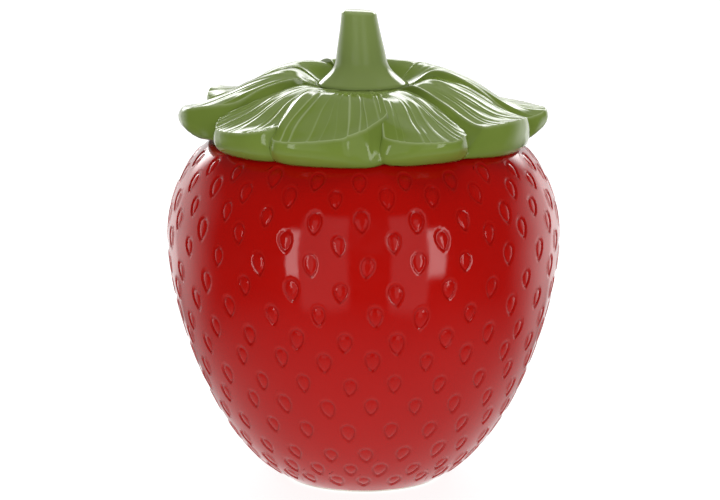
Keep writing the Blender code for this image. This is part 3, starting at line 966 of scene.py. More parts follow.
    def _on_seed(self, cell: SeedCell, index: int, scale: float) -> Point:
        """A point of a seed's outline.

        Args:
            cell: The seed's cell.
            index: Which of the cell's border points it belongs to.
            scale: The outline's size against the seed's own.

        Returns:
            Its distance across and down from the seed's middle.
        """
        count = len(cell.border)
        turn = math.tau * cell.sense * (index - cell.first) / count
        across, down = self.teardrop(turn % math.tau)
        across *= cell.half_width * scale
        down *= cell.half_length * scale
        cosine, sine = math.cos(cell.slant), math.sin(cell.slant)
        return across * cosine - down * sine, across * sine + down * cosine

    def _inside_profile(self) -> list[Point]:
        """The section from the middle of the floor up the inside and over the rim to the skin.

        Returns:
            The points, in order.
        """
        floor_height = self.foot_recess + self.floor
        mouth = self.rim_radius - self.rim_width
        rounding = self.rim_rounding
        collar = self.rim_height - self.collar_height
        spans = 40
        inner = []
        for index in range(spans + 1):
            run = mix(self.skin_length, 0.0, index / spans)
            radius, height = self.section_point(run, self.skin_setback - self.wall)
            if floor_height + 2.0 * MM < height < collar - 2.0 * MM:
                inner.append((radius, height))
        foot = inner[0]
        fillet = curve(
            (
                (foot[0] - 9.0 * MM, floor_height),
                (foot[0] - 4.0 * MM, floor_height),
                (foot[0] - 1.6 * MM, foot[1] - 1.4 * MM),
                foot,
            ),
            5,
        )
        top = inner[-1]
        shelf = curve(
            (
                top,
                (top[0] - 1.6 * MM, top[1] + 2.0 * MM),
                (top[0] - 3.0 * MM, collar),
                (mouth + 2.2 * MM, collar + 0.2 * MM),
            ),
            6,
        )
        profile = [(0.0, floor_height), (foot[0] * 0.4, floor_height)]
        profile += fillet[:-1] + inner[:-1] + shelf
        profile += [(mouth + 0.7 * MM, collar + 0.8 * MM), (mouth, collar + 2.2 * MM)]
        profile += arc((mouth + rounding, self.rim_height - rounding), rounding, 180.0, 90.0, 5)
        edge = self.section_point(self.rim_edge, 0.0)
        profile += curve(
            (
                (edge[0] - 2.2 * MM, self.rim_height),
                (edge[0] - 1.2 * MM, self.rim_height),
                (edge[0] - 0.5 * MM, edge[1] + 0.35 * MM),
                edge,
            ),
            4,
        )
        return profile

    def _add_inside(self, bm: BMesh) -> None:
        """Add the white inside and the rim.

        Args:
            bm: The jar's mesh.
        """
        steps = 2 * self.seeds_to_row * (self.edge_cuts + 1)
        _, faces = spin_profile(bm, self._inside_profile(), steps)
        lip_radius, lip_height = self.rim_radius - self.red_lip[0], self.rim_height - self.red_lip[1]
        for face in faces:
            middle = face.calc_center_median()
            on_rim = middle.z > lip_height and math.hypot(middle.x, middle.y) > lip_radius
            face.material_index = JarZone.OUTSIDE if on_rim else JarZone.INSIDE

    def _add_foot(self, bm: BMesh) -> None:
        """Add the bare foot ring and the recess inside it.

        Args:
            bm: The jar's mesh.
        """
        edge = self.section_point(self.skin_length - self.foot_edge, 0.0)
        ring = self.foot_radius - self.foot_ring_width
        profile = curve(
            (
                edge,
                (edge[0] - 0.9 * MM, edge[1] - 0.5 * MM),
                (self.foot_radius - 0.1 * MM, 0.0),
                (self.foot_radius - 1.2 * MM, 0.0),
            ),
            5,
        )
        profile += [(self.foot_radius - 3.0 * MM, 0.0), (ring + 0.8 * MM, 0.0)]
        profile += curve(
            (
                (ring, 0.25 * MM),
                (ring - 0.6 * MM, 0.7 * MM),
                (ring - 1.0 * MM, self.foot_recess),
                (ring - 3.0 * MM, self.foot_recess),
            ),
            5,
        )
        profile += [(ring * 0.5, self.foot_recess), (0.0, self.foot_recess)]
        steps = 2 * self.seeds_to_row * (self.edge_cuts + 1)
        _, faces = spin_profile(bm, profile, steps)
        for face in faces:
            face.material_index = JarZone.BARE_FOOT

    def dress(self, piece: bpy.types.Object) -> None:
        """Give the jar its finishes and its place on the frame.

        Args:
            piece: The jar's object.
        """
        red = Glaze(
            name="red_glaze",
            body=(0.380, 0.0030, 0.0012, 1.0),
            shaded=(0.358, 0.0024, 0.0010, 1.0),
            thin=(0.40, 0.012, 0.007, 1.0),
            pooled=(0.30, 0.0014, 0.0008, 1.0),
        )
        white = Glaze(
            name="white_glaze",
            body=(0.80, 0.79, 0.76, 1.0),
            shaded=(0.77, 0.76, 0.72, 1.0),
            thin=(0.72, 0.68, 0.60, 1.0),
            pooled=(0.70, 0.71, 0.69, 1.0),
        )
        for finish in (red, white, BareClay()):
            piece.data.materials.append(finish.material())
        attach(piece, "jar")
        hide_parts("jar_body")


@dataclass(frozen=True)
class LeafLine:
    """The heights of one line along a leaf: at the lid's three line radii, and where it ends."""

    at_root: float
    at_middle: float
    at_outer: float
    at_end: float


@dataclass(frozen=True)
class Skirt:
    """The cushioned end below a leaf's edge: its bulge, the undercut and heel above its foot, its hems."""

    bulge: float = 1.9 * MM
    undercut: float = 3.2 * MM
    heel: float = 0.16
    right_hem: float = 0.0
    left_hem: float = 0.0


@dataclass(frozen=True)
class Leaf:
    """One leaf of the crown: its direction, its end seen from above, and three lines along it.

    Right and left are as seen from the stem. The tip's and the flick's sides run from -1 at the right
    to 1 at the left. Spreads and flanks are in degrees round the lid, from the leaf's middle to its
    side and on from there to the foot of its flank.
    """

    angle: float
    tip_side: float
    tip_radius: float
    right_drop: float
    left_drop: float
    right: LeafLine
    middle: LeafLine
    left: LeafLine
    flick: float = 0.0
    flick_side: float = 0.0
    right_lean: float = 3.5 * MM
    left_lean: float = 3.5 * MM
    right_spread: float = 21.2
    left_spread: float = 21.2
    right_flank: float = 0.0
    left_flank: float = 0.0
    skirt: Skirt = Skirt()


@dataclass
class LeafLid:
    """The lid: nine thick veined leaves on a hollow cap with a plug, and the stem in their middle."""

    name: str = "leaf_lid"
    seat_height: float = 145.3 * MM
    rim_radius: float = 65.5 * MM
    plug_radius: float = 57.5 * MM
    plug_bottom: float = 132.3 * MM
    plug_inside: float = 52.5 * MM
    recess_rise: float = 19.6 * MM
    recess_fullness: float = 2.6
    recess_points: int = 14
    roof: float = 2.4 * MM
    plug_roundings: Point = (1.5 * MM, 1.2 * MM)
    groove_top: float = 142.3 * MM
    groove_bottom: float = 136.9 * MM
    groove_radius: float = 55.0 * MM
    groove_chamfer: float = 0.3 * MM
    seat_chamfer: float = 0.8 * MM
    cap_edge: tuple[Point, ...] = (
        (-2.8 * MM, 0.0 * MM),
        (-1.6 * MM, 0.4 * MM),
        (-1.8 * MM, 4.0 * MM),
        (-4.0 * MM, 5.5 * MM),
    )
    cap_radii: tuple[float, ...] = (
        60.0 * MM,
        54.0 * MM,
        49.0 * MM,
        43.0 * MM,
        36.0 * MM,
        27.0 * MM,
        15.0 * MM,
        0.0 * MM,
    )
    cap_fall: Point = (54.0 * MM, 62.0 * MM)
    cap_heights: Point = (153.0 * MM, 150.0 * MM)
    stem_top: float = 200.2 * MM
    stem_top_radius: float = 7.5 * MM
    stem_rounding: float = 2.0 * MM
    stem_waist: Point = (10.7 * MM, 178.6 * MM)
    stem_base: Point = (19.6 * MM, 168.8 * MM)
    stem_lean: float = -1.3 * MM
    stem_offset: float = -0.6 * MM
    stem_slope: float = 0.045
    # Glaze depth on the stem, all over and at its top: the whole stem is painted paler as painted light
    # standing in for light it lacks, and paler still at the top, where the glaze breaks thin
    stem_glaze_and_painted_light: Point = (-0.34, -0.64)
    stem_ripple: float = 0.015
    ripple_pitch: float = 7.0 * MM
    ripple_stretch: float = 0.35
    root_radius: float = 14.0 * MM
    root_height: float = 167.0 * MM
    line_radii: tuple[float, ...] = (30.0 * MM, 45.0 * MM, 60.0 * MM)
    end_roundness: float = 2.2
    foot_radius: float = 68.4 * MM
    foot_height: float = 143.8 * MM
    parting_radius: float = 66.6 * MM
    parting_height: float = 145.2 * MM
    veins: int = 11
    vein_height: float = 0.36 * MM
    vein_shape: float = 4.0
    vein_points: int = 7
    vein_stray: float = 0.34
    vein_sizes: Point = (0.40, 1.20)
    vein_starts: Point = (0.16, 0.46)
    vein_growth: float = 0.34
    side_vein_growth: Point = (0.04, 0.20)
    vein_wander: float = 0.10
    vein_bow: float = 0.30
    vein_end: float = 0.6
    flick_width: float = 0.32
    top_wave: float = 0.3 * MM
    leaf_rows: int = 46
    leaf_half_width: float = 20.0 * MM
    edge_width: float = 0.3 * MM
    edge_glaze: float = -0.9
    flute_glaze: float = 0.12
    crest_thinning: float = 0.85
    wall_glaze: Point = (-0.7, 0.6)
    under_glaze: float = 0.5
    rim_range: Point = (52.0 * MM, 66.0 * MM)
    lean_range: Point = (22.0 * MM, 58.0 * MM)
    spine_range: Point = (24.0 * MM, 56.0 * MM)
    lean_pull: float = 0.3
    edge_pull: float = 0.4
    foot_pull: float = 0.4
    hidden_drop: float = 8.0 * MM
    hidden_sink: float = 1.0 * MM
    hidden_floor: float = 149.0 * MM
    wall_shares: tuple[float, ...] = (0.02, 0.05, 0.11, 0.20, 0.32, 0.46, 0.60, 0.74, 0.88, 1.0)
    under_shares: tuple[float, ...] = (0.12, 0.5, 1.0)
    leaves: tuple[Leaf, ...] = (
        # Front, its left corner curled up
        Leaf(
            angle=-102.0,
            tip_side=-0.62,
            tip_radius=75.2 * MM,
            right_drop=10.5 * MM,
            left_drop=16.0 * MM,
            right=LeafLine(169.4 * MM, 170.0 * MM, 161.6 * MM, 155.6 * MM),
            middle=LeafLine(169.0 * MM, 169.6 * MM, 162.6 * MM, 155.6 * MM),
            left=LeafLine(168.8 * MM, 169.8 * MM, 163.8 * MM, 165.0 * MM),
        ),
        # Front right, its edge dipped in the middle
        Leaf(
            angle=-62.0,
            tip_side=0.0,
            tip_radius=76.2 * MM,
            right_drop=9.0 * MM,
            left_drop=15.3 * MM,
            right=LeafLine(168.3 * MM, 169.0 * MM, 163.0 * MM, 156.2 * MM),
            middle=LeafLine(168.0 * MM, 165.8 * MM, 159.2 * MM, 154.3 * MM),
            left=LeafLine(168.3 * MM, 164.6 * MM, 156.7 * MM, 157.4 * MM),
            flick=0.8 * MM,
            flick_side=0.40,
            left_spread=11.2,
            left_flank=-7.0,
            skirt=Skirt(left_hem=1.6 * MM),
        ),
        # Right, towards the front
        Leaf(
            angle=-22.0,
            tip_side=-0.15,
            tip_radius=72.0 * MM,
            right_drop=5.6 * MM,
            left_drop=14.0 * MM,
            right=LeafLine(169.8 * MM, 164.4 * MM, 157.9 * MM, 157.0 * MM),
            middle=LeafLine(171.6 * MM, 167.0 * MM, 159.2 * MM, 157.4 * MM),
            left=LeafLine(172.2 * MM, 166.4 * MM, 156.5 * MM, 153.0 * MM),
            flick=0.8 * MM,
            flick_side=-0.15,
            right_lean=9.0 * MM,
            right_flank=10.0,
        ),
        # Right, towards the back
        Leaf(
            angle=18.0,
            tip_side=-0.40,
            tip_radius=77.8 * MM,
            right_drop=11.4 * MM,
            left_drop=9.0 * MM,
            right=LeafLine(174.2 * MM, 168.8 * MM, 157.4 * MM, 154.6 * MM),
            middle=LeafLine(175.0 * MM, 169.4 * MM, 159.4 * MM, 156.2 * MM),
            left=LeafLine(175.2 * MM, 169.8 * MM, 161.0 * MM, 157.4 * MM),
            flick=1.6 * MM,
            flick_side=-0.40,
            right_lean=10.0 * MM,
            skirt=Skirt(bulge=4.5 * MM, undercut=4.5 * MM, heel=0.12),
        ),
        # Back right
        Leaf(
            angle=58.0,
            tip_side=0.20,
            tip_radius=77.0 * MM,
            right_drop=9.0 * MM,
            left_drop=8.0 * MM,
            right=LeafLine(174.2 * MM, 167.4 * MM, 158.6 * MM, 155.0 * MM),
            middle=LeafLine(175.4 * MM, 170.4 * MM, 160.6 * MM, 157.4 * MM),
            left=LeafLine(175.2 * MM, 170.4 * MM, 161.2 * MM, 157.6 * MM),
            flick=1.0 * MM,
            flick_side=0.20,
            right_lean=7.0 * MM,
        ),
        # Back
        Leaf(
            angle=98.0,
            tip_side=-0.15,
            tip_radius=77.2 * MM,
            right_drop=8.0 * MM,
            left_drop=9.0 * MM,
            right=LeafLine(174.6 * MM, 168.0 * MM, 159.6 * MM, 155.6 * MM),
            middle=LeafLine(175.8 * MM, 170.6 * MM, 161.0 * MM, 157.4 * MM),
            left=LeafLine(175.4 * MM, 170.6 * MM, 161.6 * MM, 158.0 * MM),
            flick=1.0 * MM,
            flick_side=-0.15,
            right_lean=7.0 * MM,
        ),
        # Back left
        Leaf(
            angle=138.0,
            tip_side=0.28,
            tip_radius=78.6 * MM,
            right_drop=9.0 * MM,
            left_drop=12.0 * MM,
            right=LeafLine(173.8 * MM, 168.8 * MM, 159.8 * MM, 155.6 * MM),
            middle=LeafLine(175.6 * MM, 172.4 * MM, 162.4 * MM, 159.6 * MM),
            left=LeafLine(174.4 * MM, 169.4 * MM, 161.4 * MM, 158.0 * MM),
            flick=2.0 * MM,
            flick_side=0.28,
            right_lean=6.0 * MM,
        ),
        # Left, with a full cushion and its front hem raised
        Leaf(
            angle=178.0,
            tip_side=0.10,
            tip_radius=76.0 * MM,
            right_drop=10.0 * MM,
            left_drop=20.6 * MM,
            right=LeafLine(173.6 * MM, 168.6 * MM, 160.6 * MM, 157.6 * MM),
            middle=LeafLine(174.2 * MM, 170.6 * MM, 163.2 * MM, 158.0 * MM),
            left=LeafLine(171.6 * MM, 168.2 * MM, 161.6 * MM, 163.4 * MM),
            flick=0.8 * MM,
            flick_side=0.10,
            right_lean=4.0 * MM,
            left_lean=9.0 * MM,
            left_flank=10.0,
            skirt=Skirt(
                bulge=6.0 * MM, undercut=5.3 * MM, heel=0.10, right_hem=0.4 * MM, left_hem=3.8 * MM
            ),
        ),
        # Front left
        Leaf(
            angle=218.0,
            tip_side=0.30,
            tip_radius=73.4 * MM,
            right_drop=7.5 * MM,
            left_drop=4.0 * MM,
            right=LeafLine(169.7 * MM, 165.7 * MM, 160.6 * MM, 157.7 * MM),
            middle=LeafLine(169.6 * MM, 166.6 * MM, 159.0 * MM, 155.2 * MM),
            left=LeafLine(168.6 * MM, 167.0 * MM, 159.8 * MM, 158.9 * MM),
            flick=0.8 * MM,
            flick_side=-0.95,
            right_spread=11.2,
            right_flank=-6.0,
            skirt=Skirt(right_hem=1.8 * MM),
        ),
    )
    turn_steps: int = 144

    def build(self) -> bpy.types.Object:
        """Make the lid's mesh.

        Returns:
            The lid as an object.
        """
        bm = bmesh.new()
        depth = bm.verts.layers.float.new(GLAZE_DEPTH_AND_PAINTED_LIGHT)
        spin_profile(bm, self._cap_profile(), self.turn_steps)
        self._add_stem(bm, depth)
        for leaf in self.leaves:
            self._add_leaf(bm, leaf, depth)
        bmesh.ops.recalc_face_normals(bm, faces=bm.faces[:])
        return finish_piece(bm, self.name)

    def recess_height(self, radius: float) -> float:
        """The height of the hollow's roof under the lid.

        Args:
            radius: The distance from the axis.

        Returns:
            The height there.
        """
        share = min(radius / self.plug_inside, 1.0) ** self.recess_fullness
        return self.seat_height + self.recess_rise * (1.0 - share) ** (1.0 / self.recess_fullness)

    def cap_inside(self, radius: float) -> float:
        """A height hidden inside the cap's shell, just under its top, at a distance from the axis."""
        return self.recess_height(radius) + self.roof - self.hidden_sink

    def _cap_profile(self) -> list[Point]:
        """The cap's section: from the middle of the hollow round the plug and over to its top.

        Returns:
            The points, in order.
        """
        profile = []
        for index in range(self.recess_points):
            turn = math.pi / 2.0 * (1.0 - index / self.recess_points)
            radius = self.plug_inside * math.cos(turn) ** (2.0 / self.recess_fullness)
            profile.append((radius, self.recess_height(radius)))
        profile[0] = (0.0, profile[0][1])
        inner, outer = self.plug_roundings
        profile += [(self.plug_inside, self.seat_height), (self.plug_inside, self.plug_bottom + inner)]
        profile += arc((self.plug_inside + inner, self.plug_bottom + inner), inner, 180.0, 270.0, 4)
        profile += arc((self.plug_radius - outer, self.plug_bottom + outer), outer, 270.0, 360.0, 4)
        for height, side in ((self.groove_bottom, -1), (self.groove_top, 1)):
            corner = [
                (self.plug_radius, height + side * self.groove_chamfer),
                (self.plug_radius - self.groove_chamfer, height),
                (self.groove_radius, height),
            ]
            profile += corner[::-side]
        edge = [(self.rim_radius + out, self.seat_height + up) for out, up in self.cap_edge]
        profile += [
            (self.plug_radius, self.seat_height - self.seat_chamfer),
            (self.plug_radius + self.seat_chamfer, self.seat_height),
            (edge[-1][0], self.seat_height),
        ]
        profile += curve(edge, 6)
        for radius in self.cap_radii:
            least = mix(*self.cap_heights, ease(*self.cap_fall, radius))
            profile.append((radius, max(self.recess_height(radius) + self.roof, least)))
        return profile

    def _add_stem(self, bm: BMesh, depth: BMLayerItem) -> None:
        """Add the stem, turned and then leaned a little, with a top that slopes, and its glaze paler all
        over as painted light.

        Args:
            bm: The lid's mesh.
            depth: The layer for the glaze's thickness, which on the stem also carries painted light.
        """
        top, rounding = self.stem_top, self.stem_rounding
        waist, base = self.stem_waist, self.stem_base
        profile = [(0.0, top), (self.stem_top_radius * 0.5, top - 0.1 * MM)]
        profile += arc(
            (self.stem_top_radius - rounding, top - rounding - 0.35 * MM), rounding, 76.0, 8.0, 6
        )
        profile += curve(
            (
                (self.stem_top_radius + 0.1 * MM, top - 3.0 * MM),
                (self.stem_top_radius + 0.8 * MM, top - 9.0 * MM),
                (waist[0] - 0.9 * MM, waist[1] + 6.0 * MM),
                waist,
            ),
            10,
        )
        profile += curve(
            (
                waist,
                (waist[0] + 0.9 * MM, waist[1] - 4.4 * MM),
                (base[0] - 4.4 * MM, base[1] + 3.4 * MM),
                base,
            ),
            10,
        )[1:]
        profile += [
            (base[0] - 0.1 * MM, base[1] - 0.5 * MM),
            (base[0] - 0.8 * MM, base[1] - 0.9 * MM),
            (base[0] - 6.0 * MM, base[1] - 1.6 * MM),
            (0.0, base[1] - 1.6 * MM),
        ]
        verts, _ = spin_profile(bm, profile, self.turn_steps)
        for vert in verts:
            risen = min(max((vert.co.z - base[1]) / (top - base[1]), 0.0), 1.0)
            place = Vector((vert.co.x, vert.co.y, vert.co.z * self.ripple_stretch))
            swell = 1.0 + self.stem_ripple * noise.noise(place / self.ripple_pitch)
            # Painted light: the whole stem's glaze is paler, and paler still towards its top
            vert[depth] = mix(*self.stem_glaze_and_painted_light, ease(top - 2.2 * MM, top - 0.8 * MM, vert.co.z))
            slope = (vert.co.x + self.stem_top_radius) * self.stem_slope * ease(0.7, 1.0, risen)
            vert.co.x = vert.co.x * swell + self.stem_offset + self.stem_lean * risen
            vert.co.y *= swell
            vert.co.z -= slope

    def line_heights(self, line: LeafLine, end: float) -> Track:
        """The heights of one line along a leaf, as a smooth curve through its points.

        Args:
            line: The line.
            end: The radius where it ends.

        Returns:
            The heights by radius.
        """
        base = self.stem_base
        inwards, sunk, least_run, beyond = 6.0 * MM, 0.6 * MM, 3.0 * MM, 8.0 * MM
        follow, spans = 0.2, 12
        points = [
            (self.root_radius - inwards, self.root_height),
            (self.root_radius, self.root_height),
            (base[0], base[1] - sunk),
        ]
        heights = (line.at_root, line.at_middle, line.at_outer)
        for radius, height in zip(self.line_radii, heights):
            if radius < end - least_run:
                points.append((radius, height))
        points.append((end, line.at_end))
        points.append((end + beyond, mix(points[-1][1], points[-2][1], -follow)))
        keys, values = [], []
        for index in range(1, len(points) - 2):
            for step in range(spans):
                keys.append(mix(points[index][0], points[index + 1][0], step / spans))
                values.append(smooth_height(points[index - 1 : index + 3], step / spans))
        keys.append(end)
        values.append(line.at_end)
        return Track(keys, values)

    def _add_leaf(self, bm: BMesh, leaf: Leaf, depth: BMLayerItem) -> None:
        """Add one leaf: a veined top with a crisp edge, and cushioned flanks down to the cap.

        Args:
            bm: The lid's mesh.
            leaf: The leaf.
            depth: The layer for the glaze's thickness.
        """
        maker = LeafMaker(self, leaf)
        grid = bmesh.ops.create_grid(
            bm, x_segments=len(maker.along) - 1, y_segments=len(maker.across) - 1, size=1.0
        )["verts"]
        places: dict[BMVert, tuple[int, int]] = {}
        for vert in grid:
            row = round((vert.co.x + 1.0) / 2.0 * (len(maker.along) - 1))
            column = round((vert.co.y + 1.0) / 2.0 * (len(maker.across) - 1))
            places[vert] = (row, column)
        for vert, (row, column) in places.items():
            vert.co = maker.top_point(row, column)
            vert[depth] = maker.glaze_on_top(row, column)
        edges = dict.fromkeys(edge for vert in grid for edge in vert.link_edges)
        rim: list[BMEdge] = [edge for edge in edges if edge.is_boundary]
        made = list(grid)
        for number in range(maker.wall_rows()):
            before = {vert for edge in rim for vert in edge.verts}
            geometry = bmesh.ops.extrude_edge_only(bm, edges=rim)["geom"]
            fresh = [item for item in geometry if isinstance(item, BMVert)]
            new = set(fresh)
            for vert in fresh:
                parent = next(
                    edge.other_vert(vert)
                    for edge in vert.link_edges
                    if edge.other_vert(vert) in before
                )
                places[vert] = places[parent]
            for vert in fresh:
                vert.co = maker.wall_point(places[vert], number)
                vert[depth] = maker.glaze_on_wall(number)
            rim = [
                item
                for item in geometry
                if isinstance(item, BMEdge) and item.verts[0] in new and item.verts[1] in new
            ]
            made += fresh
        bmesh.ops.remove_doubles(bm, verts=made, dist=MERGE_DISTANCE)

    def dress(self, piece: bpy.types.Object) -> None:
        """Give the lid its glaze and its place on the frame.

        Args:
            piece: The lid's object.
        """
        green = Glaze(
            name="green_glaze",
            body=(0.152, 0.215, 0.037, 1.0),
            shaded=(0.137, 0.196, 0.032, 1.0),
            # The thin colour also paints the stem paler, as painted light
            thin=(0.36, 0.42, 0.22, 1.0),
            pooled=(0.090, 0.128, 0.017, 1.0),
            thin_share=0.7,
            roughness=(0.06, 0.13),
        )
        piece.data.materials.append(green.material())
        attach(piece, "lid")
        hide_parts("lid")


class LeafMaker:
    """Works out where the points of one leaf lie."""

    def __init__(self, lid: LeafLid, leaf: Leaf) -> None:
        """Set out the leaf's grid, its three lines and its border.

        Args:
            lid: The lid, for the sizes that its leaves share.
            leaf: The leaf.
        """
        self.lid = lid
        self.leaf = leaf
        self.ends = [self.end_radius(side) for side in (-1.0, 0.0, 1.0)]
        lines = (leaf.right, leaf.middle, leaf.left)
        self.lines = [lid.line_heights(line, end) for line, end in zip(lines, self.ends)]
        edge = lid.edge_width / (leaf.tip_radius - lid.root_radius)
        rows = lid.leaf_rows
        self.along = [index / rows * (1.0 - edge) for index in range(rows + 1)] + [1.0]
        columns = lid.veins * lid.vein_points
        side = lid.edge_width / lid.leaf_half_width
        hand = random.Random(round(leaf.angle))
        inner_strays = [hand.uniform(-lid.vein_stray, lid.vein_stray) for _ in range(lid.veins - 1)]
        strays = [0.0, *inner_strays, 0.0]
        crests = Track(range(lid.veins + 1), [number + stray for number, stray in enumerate(strays)])
        inner = [
            mix(-1.0 + side, 1.0 - side, crests.at(index / lid.vein_points) / lid.veins)
            for index in range(columns + 1)
        ]
        self.across = [-1.0, *inner, 1.0]
        self.vein_sizes = [hand.uniform(*lid.vein_sizes) for _ in range(lid.veins + 1)]
        self.vein_starts = [hand.uniform(*lid.vein_starts) for _ in range(lid.veins + 1)]
        self.border = self._border()

    def end_radius(self, across: float) -> float:
        """How far from the axis the leaf's end lies.

        Args:
            across: The place across the leaf.

        Returns:
            The radius.
        """
        leaf = self.leaf
        if across > leaf.tip_side:
            drop, share = leaf.left_drop, (across - leaf.tip_side) / (1.0 - leaf.tip_side)
        else:
            drop, share = leaf.right_drop, (leaf.tip_side - across) / (1.0 + leaf.tip_side)
        return leaf.tip_radius - drop * share**self.lid.end_roundness

    def _border(self) -> dict[tuple[int, int], Vector]:
        """The direction out of the leaf, seen from above, at each point of its border.

        Returns:
            The directions by row and column.
        """
        last_row, last_column = len(self.along) - 1, len(self.across) - 1
        loop = [(row, 0) for row in range(last_row)]
        loop += [(last_row, column) for column in range(last_column)]
        loop += [(row, last_column) for row in range(last_row, 0, -1)]
        loop += [(0, column) for column in range(last_column, 0, -1)]
        points = [self.plan_point(*place) for place in loop]
        reach = 2
        directions = {}
        for index, place in enumerate(loop):
            run = points[(index + reach) % len(loop)] - points[index - reach]
            directions[place] = Vector((run.y, -run.x, 0.0)).normalized()
        return directions

    def plan_point(self, row: int, column: int) -> Vector:
        """A point of the leaf's top seen from above.

        Args:
            row: The row along the leaf.
            column: The column across it.

        Returns:
            The point, at height 0.
        """
        lid, leaf = self.lid, self.leaf
        along, across = self.along[row], self.across[column]
        radius = mix(lid.root_radius, self.end_radius(across), along)
        loose = 1.0 - across * across
        wander = noise.noise(Vector((along * 3.0, across * 3.5, leaf.angle))) * ease(0.15, 0.6, along)
        stray = lid.vein_wander * loose * wander
        stray += lid.vein_bow * loose * across * (along * along - 0.5)
        spread = leaf.left_spread if across > 0.0 else leaf.right_spread
        turn = math.radians(leaf.angle + (across + stray) * spread)
        return Vector((radius * math.cos(turn), radius * math.sin(turn), 0.0))

    def top_height(self, row: int, column: int) -> float:
        """The height of the leaf's top without its veins.

        Args:
            row: The row along the leaf.
            column: The column across it.

        Returns:
            The height.
        """
        along, across = self.along[row], self.across[column]
        weights = (
            across * (across - 1.0) / 2.0,
            1.0 - across * across,
            across * (across + 1.0) / 2.0,
        )
        height = 0.0
        for weight, line, end in zip(weights, self.lines, self.ends):
            height += weight * line.at(mix(self.lid.root_radius, end, along))
        from_tip = (across - self.leaf.flick_side) / self.lid.flick_width
        flick = self.leaf.flick * along**8 * math.exp(-from_tip * from_tip)
        wave = noise.noise(Vector((along * 4.0, across * 2.2, self.leaf.angle + 5.0)))
        return height + flick + self.lid.top_wave * wave * ease(0.1, 0.4, along)

    def vein(self, column: int) -> tuple[int, float]:
        """The nearest vein to a column and how near its crest is.

        Args:
            column: The column across the leaf.

        Returns:
            The vein's number, and from 0 in the flute to 1 on the crest.
        """
        points = self.lid.vein_points
        inner = min(max(column - 1, 0), self.lid.veins * points)
        number = round(inner / points)
        return number, abs(2.0 * ((inner / points) % 1.0) - 1.0)

    def ridge(self, row: int, column: int) -> float:
        """How far a vein stands up at a point, from 0 in a flute to about 1 on a crest.

        Args:
            row: The row along the leaf.
            column: The column across it.

        Returns:
            The share of a full vein.
        """
        number, near = self.vein(column)
        growth = (self.vein_starts[number], self.vein_starts[number] + self.lid.vein_growth)
        if number in (0, self.lid.veins):
            growth = self.lid.side_vein_growth
        grown = ease(*growth, self.along[row])
        return grown * self.vein_sizes[number] * near**self.lid.vein_shape

    def top_point(self, row: int, column: int) -> Vector:
        """A point of the veined top.

        Args:
            row: The row along the leaf.
            column: The column across it.

        Returns:
            The point in the jar's frame.
        """
        point = self.plan_point(row, column)
        at_end = ease(0.82, 1.0, self.along[row])
        vein = self.lid.vein_height * self.ridge(row, column) * mix(1.0, self.lid.vein_end, at_end)
        point.z = self.top_height(row, column) + vein
        return point

    def glaze_on_top(self, row: int, column: int) -> float:
        """The glaze's thickness on the veined top.

        Args:
            row: The row along the leaf.
            column: The column across it.

        Returns:
            The thickness, below 0 where it is thin.
        """
        last_row, last_column = len(self.along) - 1, len(self.across) - 1
        if row == last_row or column in (0, last_column):
            return self.lid.edge_glaze
        return self.lid.flute_glaze - self.lid.crest_thinning * self.ridge(row, column) ** 1.6

    def wall_rows(self) -> int:
        """How many rows of points lie below the leaf's edge."""
        return len(self.lid.wall_shares) + len(self.lid.under_shares)

    def wall_point(self, place: tuple[int, int], number: int) -> Vector:
        """A point of the cushioned flank below the edge, or of the hidden underside.

        Args:
            place: The row and column of the edge point above.
            number: Which row below the edge, from 0.

        Returns:
            The point in the jar's frame.
        """
        corners = self._wall_corners(place)
        shares = self.lid.wall_shares
        if number < len(shares):
            return Vector(curve_point(corners, shares[number]))
        return self._under_point(place[0], corners[-1], self.lid.under_shares[number - len(shares)])

    def _wall_corners(self, place: tuple[int, int]) -> tuple[Vector, Vector, Vector, Vector]:
        """The curve down the flank below a point of the edge.

        Args:
            place: The row and column of the edge point.

        Returns:
            The edge point, its handle, the foot's handle and the foot.
        """
        lid, leaf, skirt = self.lid, self.leaf, self.leaf.skirt
        edge, out, up = self.top_point(*place), self.border[place], Vector((0.0, 0.0, 1.0))
        across = self.across[place[1]]
        radius = math.hypot(edge.x, edge.y)
        at_rim = ease(*lid.rim_range, radius)
        lean = leaf.left_lean if across > 0.0 else leaf.right_lean
        lean *= ease(*lid.lean_range, radius)
        hidden = edge + out * lean
        hidden.z = max(min(edge.z - lid.hidden_drop, lid.cap_inside(radius)), lid.hidden_floor)
        foot = hidden.lerp(self._rim_foot(edge, across), at_rim)
        drop = edge.z - foot.z
        return (
            edge,
            edge + out * mix(lid.lean_pull * lean, skirt.bulge, at_rim) - up * lid.edge_pull * drop,
            foot + out * (skirt.undercut * at_rim) + up * mix(lid.foot_pull, skirt.heel, at_rim) * drop,
            foot,
        )

    def _rim_foot(self, edge: Vector, across: float) -> Vector:
        """Where the flank below a point of the edge meets the jar's shoulder.

        Args:
            edge: The edge point.
            across: Its place across the leaf.

        Returns:
            The point in the jar's frame.
        """
        lid, leaf = self.lid, self.leaf
        flank = leaf.left_flank if across > 0.0 else -leaf.right_flank
        turn = Matrix.Rotation(math.radians(flank) * across**8, 3, "Z")
        direction = turn @ Vector((edge.x, edge.y, 0.0)) / math.hypot(edge.x, edge.y)
        parting = across**4
        foot = direction * mix(lid.foot_radius, lid.parting_radius, parting)
        hem = mix(leaf.skirt.right_hem, leaf.skirt.left_hem, (across + 1.0) / 2.0)
        foot.z = mix(lid.foot_height, lid.parting_height, parting) + hem
        return foot

